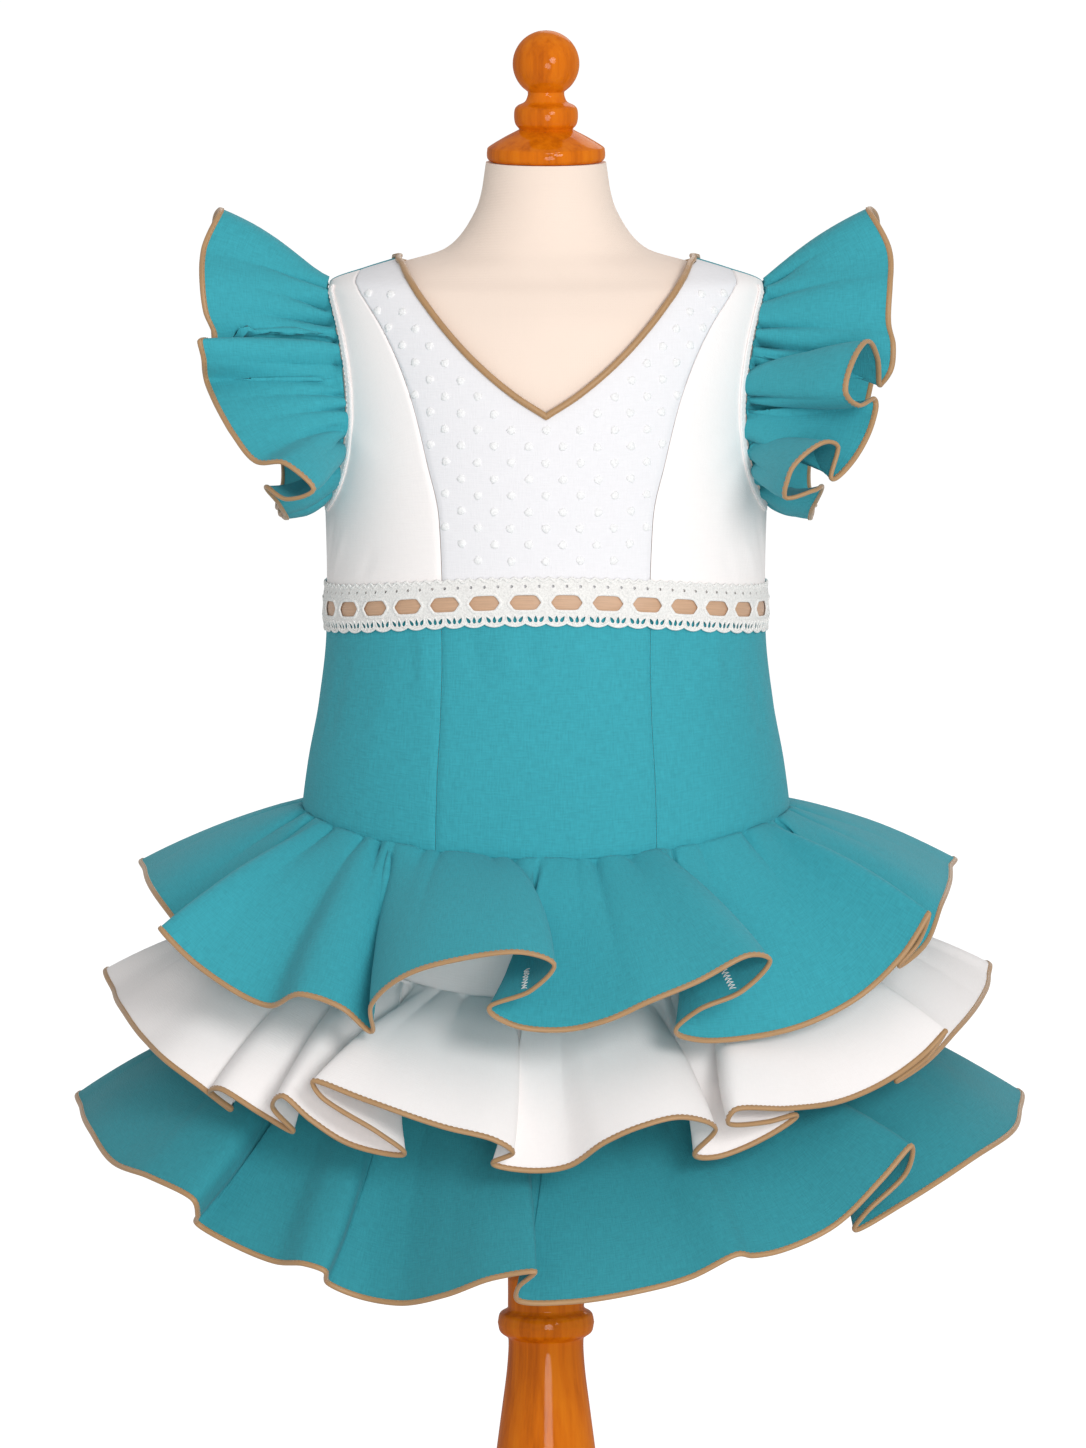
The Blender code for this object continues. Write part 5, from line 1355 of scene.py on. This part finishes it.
def build_lace(white, embroidery):
    verts, tris = lace_square()
    drops, _ = lace_holes()
    for name, start, windows in (("lace_front", -WINDOWS_FRONT * PITCH / 2, WINDOWS_FRONT),
                                 ("lace_back", WINDOWS_FRONT * PITCH / 2, WINDOWS_BACK)):
        shifts = [np.array([start + (i + 0.5) * PITCH, 0.0]) for i in range(windows)]
        places = np.concatenate([verts + shift for shift in shifts])
        faces = np.concatenate([tris + i * len(verts) for i in range(windows)])
        outer, normal = on_band(places, lace_lift(places[:, 1]))
        piece = wall(f"{name}_net", outer, outer - LACE_CLOTH * normal, faces, places[faces], white)
        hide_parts(name)
        length = windows * PITCH
        x = start + np.linspace(0, length, windows * EDGE_POINTS)
        wave = CORD_WAVE * np.sin(x / CORD_PERIOD)
        edges = {
            # outlines, width, thickness, closed, sides
            "window_rims": ([hexagon() + shift for shift in shifts], 0.0016, 0.0011, True, 7),
            "eyelet_rims": ([drop + shift for shift in shifts for drop in drops],
                            0.0008, 0.0007, True, 5),
            "scallops": ([np.stack([x, scalloped(x - start - PITCH / 2) + 0.0003], -1)],
                         0.0013, 0.0011, False, 7),
            "cord": ([np.stack([x, LACE_HEIGHT / 2 - 0.0006 + wave], -1)],
                     0.0014, 0.0012, False, 7),
        }
        rims = [band_tube(f"{name}_{edge}", loops, width, thickness, embroidery, closed, sides)
                for edge, (loops, width, thickness, closed, sides) in edges.items()]


def build_ribbon(finish):
    """The ribbon behind the windows, which puffs out a little in each of them."""
    length = WAIST_RUN[0] + np.linspace(0, GIRTH, RIBBON_COLUMNS, endpoint=False)
    rise = np.linspace(-RIBBON_HEIGHT / 2, RIBBON_HEIGHT / 2, RIBBON_ROWS)
    place = np.stack(np.broadcast_arrays(length[None, :], rise[:, None]), -1)
    phase = (length - WAIST_RUN[0] - GIRTH / 2 + WINDOWS_FRONT * PITCH / 2) / PITCH
    in_window = np.clip(1.25 * np.abs(np.sin(math.pi * phase)) - 0.15, 0, 1)
    puff = RIBBON_PUFF * in_window[None, :] * np.cos(rise / RIBBON_HEIGHT * math.pi)[:, None]
    grid, normal = on_band(place, RIBBON_LIFT)
    grid = grid + normal * (puff - RIBBON_SINK)[..., None]
    size = (GIRTH, RIBBON_HEIGHT)
    piece = shell("ribbon_satin", grid, finish, closed=True, thick=RIBBON_CLOTH, scale=size)
    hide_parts("ribbon")


# The form and its stand

def smooth_profile(profile, sharp=()):
    """A profile with its runs between sharp corners turned into smooth curves."""
    rows = np.array(profile)
    ends = [0, *sharp, len(rows) - 1]
    line = []
    for a, b in zip(ends, ends[1:]):
        part = rows[a:b + 1]
        if len(part) < 3:
            line.append(part[:-1])
            continue
        laps = np.concatenate([2 * part[:1] - part[1:2], part, 2 * part[-1:] - part[-2:-1]])
        t = np.linspace(0, 1, PROFILE_FINENESS, endpoint=False)[:, None]
        for p0, p1, p2, p3 in zip(laps, laps[1:], laps[2:], laps[3:]):
            line.append(0.5 * (2 * p1 + (p2 - p0) * t + (2 * p0 - 5 * p1 + 4 * p2 - p3) * t**2
                               + (3 * p1 - p0 - 3 * p2 + p3) * t**3))
    line.append(rows[-1:])
    line = np.concatenate(line)
    line[:, 0] = np.maximum(line[:, 0], 0.0)
    return line


def capped(name, grid, foot, top, finish):
    """A closed body from rings of points, with a centre point below and above."""
    rows, columns = grid.shape[:2]
    quads, corners = grid_quads(rows, columns, True)
    wide = np.linalg.norm(np.diff(grid[rows // 2], axis=0), axis=-1).sum()
    height = grid[:, 0, 2] - grid[0, 0, 2]
    uv = np.stack([corners[..., 1] / columns * wide, height[corners[..., 0]]], -1)
    j = np.arange(columns)
    k = (j + 1) % columns
    count = rows * columns
    last = count - columns
    fans = np.concatenate([np.stack([np.full(columns, count), k, j], 1),
                           np.stack([np.full(columns, count + 1), last + j, last + k], 1)])
    points = np.concatenate([grid.reshape(-1, 3), [foot, top]])
    uvs = np.concatenate([uv.reshape(-1, 2), points[fans.ravel()][:, :2]])
    return add_mesh(name, points, (quads, fans), finish, uvs, 50.0)


def turned(name, profile, sides, finish, node, sharp):
    """A turned piece, from a profile that starts and ends on the axis."""
    line = smooth_profile(profile, sharp)
    angles = np.linspace(0, math.tau, sides, endpoint=False)
    grid = np.stack([np.stack([r * np.cos(angles), r * np.sin(angles), np.full(sides, z)], -1)
                     for r, z in line if r > 1e-6])
    piece = capped(name, grid, (0.0, 0.0, line[0][1]), (0.0, 0.0, line[-1][1]), finish)
    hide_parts(node)


def build_form(cream, wood, disc_wood):
    bearing = np.linspace(-180, 180, FORM_COLUMNS, endpoint=False)
    widest = body_surface(bearing, HIP_BACK, -FORM_CLEARANCE)
    foot = smooth_profile([(share, z) for z, share in FORM_FOOT])
    rings = [widest * (share, share, 0.0) + (0.0, 0.0, z) for share, z in foot[:-1]]
    heights = np.concatenate([np.linspace(*span, FORM_ROWS) for span in (FORM_BODY, FORM_NECK)])
    rings += [body_surface(bearing, z) - FORM_CLEARANCE * body_normal(bearing, z) for z in heights]
    rings.append(body_surface(bearing, NECK_TOP, -FORM_CLEARANCE))
    piece = capped("form_body", np.stack(rings), (0.0, 0.0, FORM_BOTTOM), (0.0, 0.0, NECK_TOP),
                   cream)
    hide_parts("form_torso")
    start = math.asin(CAP_PROFILE[-1][0] / FINIAL_RADIUS)
    ball = [(FINIAL_RADIUS * math.sin(a), FINIAL_CENTRE - FINIAL_RADIUS * math.cos(a))
            for a in np.linspace(start, math.pi, 12)[1:-1]]
    ball.append((0.0, FINIAL_CENTRE + FINIAL_RADIUS))
    profile = [(r, NECK_TOP + z) for r, z in (*CAP_PROFILE, *ball)]
    turned("neck_cap_turned", profile, CAP_SIDES, wood, "neck_cap", (1, len(CAP_PROFILE) - 1))
    turned("stand_column_turned", COLUMN_PROFILE, COLUMN_SIDES, wood, "stand_column",
           COLUMN_CORNERS)
    turned("stand_base_turned", BASE_PROFILE, BASE_SIDES, disc_wood, "stand_base", BASE_CORNERS)


# Camera, light and floor

def build_camera():
    data = bpy.data.cameras.new("camera")
    data.sensor_fit = "VERTICAL"
    data.sensor_height = SENSOR
    data.lens = SENSOR * CAMERA_DISTANCE / VIEW_HEIGHT
    camera = bpy.data.objects.new("camera", data)
    camera.location = Vector(CAMERA_TARGET) + CAMERA_DISTANCE * Vector(
        (0.0, -math.cos(CAMERA_FALL), math.sin(CAMERA_FALL)))
    camera.rotation_euler = (math.pi / 2 - CAMERA_FALL, 0.0, 0.0)
    bpy.context.scene.collection.objects.link(camera)
    bpy.context.scene.camera = camera


def add_area(name, place, size, power):
    """A disk of light that shines at the dress."""
    data = bpy.data.lights.new(name, "AREA")
    data.shape = "DISK"
    data.size = size
    data.energy = power
    made = bpy.data.objects.new(name, data)
    made.location = place
    made.rotation_euler = (Vector(LIGHT_AIM) - Vector(place)).to_track_quat("-Z", "Y").to_euler()
    bpy.context.scene.collection.objects.link(made)


def build_light():
    world = bpy.data.worlds.new("studio")
    world.use_nodes = True
    background = world.node_tree.nodes["Background"]
    background.inputs["Color"].default_value = (1.0, 1.0, 1.0, 1.0)
    background.inputs["Strength"].default_value = WORLD_LIGHT
    bpy.context.scene.world = world
    for name, place, size, power in LIGHTS:
        add_area(name, place, size, power)
    bpy.context.scene.view_settings.view_transform = "Standard"


def build_floor():
    """A pale floor with a faint glow of its own, so that it is even far away."""
    tone = (FLOOR_TONE,) * 3
    made = new_material("floor_white", tone, 0.9, Emission_Color=(1.0, 1.0, 1.0, 1.0),
                        Emission_Strength=FLOOR_GLOW, Specular_IOR_Level=0.0)
    cloud = noise(made.node_tree, "Object", (0.6, 0.6, 0.6))
    set_colour(made, cloud, (0.2, tone), (0.8, tinted(tone, 1.05)))
    mesh = bpy.data.meshes.new("floor")
    corners = [(x * FLOOR_REACH, y * FLOOR_REACH, 0.0)
               for x, y in ((-1, -1), (1, -1), (1, 1), (-1, 1))]
    mesh.from_pydata(corners, [], [(0, 1, 2, 3)])
    mesh.materials.append(made)
    floor = bpy.data.objects.new("floor", mesh)
    floor.visible_diffuse = False
    floor.visible_glossy = False
    bpy.context.scene.collection.objects.link(floor)


CREPES = (
    # name, colour, contrast, sheen, relief
    ("crepe_teal", TEAL, 0.10, 0.06, 0.00028),
    # painted shade: a darker copy of the teal for the bottom ruffle, standing in for the shade it
    # hangs in
    ("crepe_teal_painted_shade", tinted(TEAL, TEAL_PAINTED_SHADE), 0.10, 0.06, 0.00028),
    ("batiste_white", WHITE, 0.012, 0.03, 0.00010),
    ("tulle_dotted", TULLE, 0.02, 0.03, 0.00014),
)
SATINS = (
    # name, colour, gloss, twill
    ("beige_binding_satin", BEIGE, 0.40, 700.0),
    ("beige_ribbon_satin", RIBBON, 0.34, 900.0),
)
COTTONS = (("lace_cotton", LACE_WHITE), ("lace_embroidery", EMBROIDERY),
           ("beige_thread", THREAD_BEIGE), ("white_thread", LACE_WHITE),
           ("teal_thread", tinted(TEAL, 0.85)))


def main():
    build_camera()
    build_light()
    build_floor()
    teal, teal_painted_shade, white, dotted = (crepe(*row) for row in CREPES)
    binding_satin, ribbon_satin = (satin(*row) for row in SATINS)
    lace_cotton, embroidery, beige_thread, white_thread, teal_thread = (
        cotton(*row) for row in COTTONS)
    wood, disc_wood = varnished_wood("wood_varnish", 2), varnished_wood("wood_varnish_disc", 0)
    build_form(jersey("jersey_knit", CREAM), wood, disc_wood)
    neck_trim = build_neck_binding(binding_satin, beige_thread)
    build_bodice(white, dotted, teal, teal_thread)
    build_hips(teal)
    build_skirt(teal, white, teal_painted_shade, binding_satin, beige_thread, white_thread)
    build_sleeves(teal, binding_satin, beige_thread)
    build_armhole_bands(white, white_thread)
    build_ribbon(ribbon_satin)
    build_lace(lace_cotton, embroidery)


main()
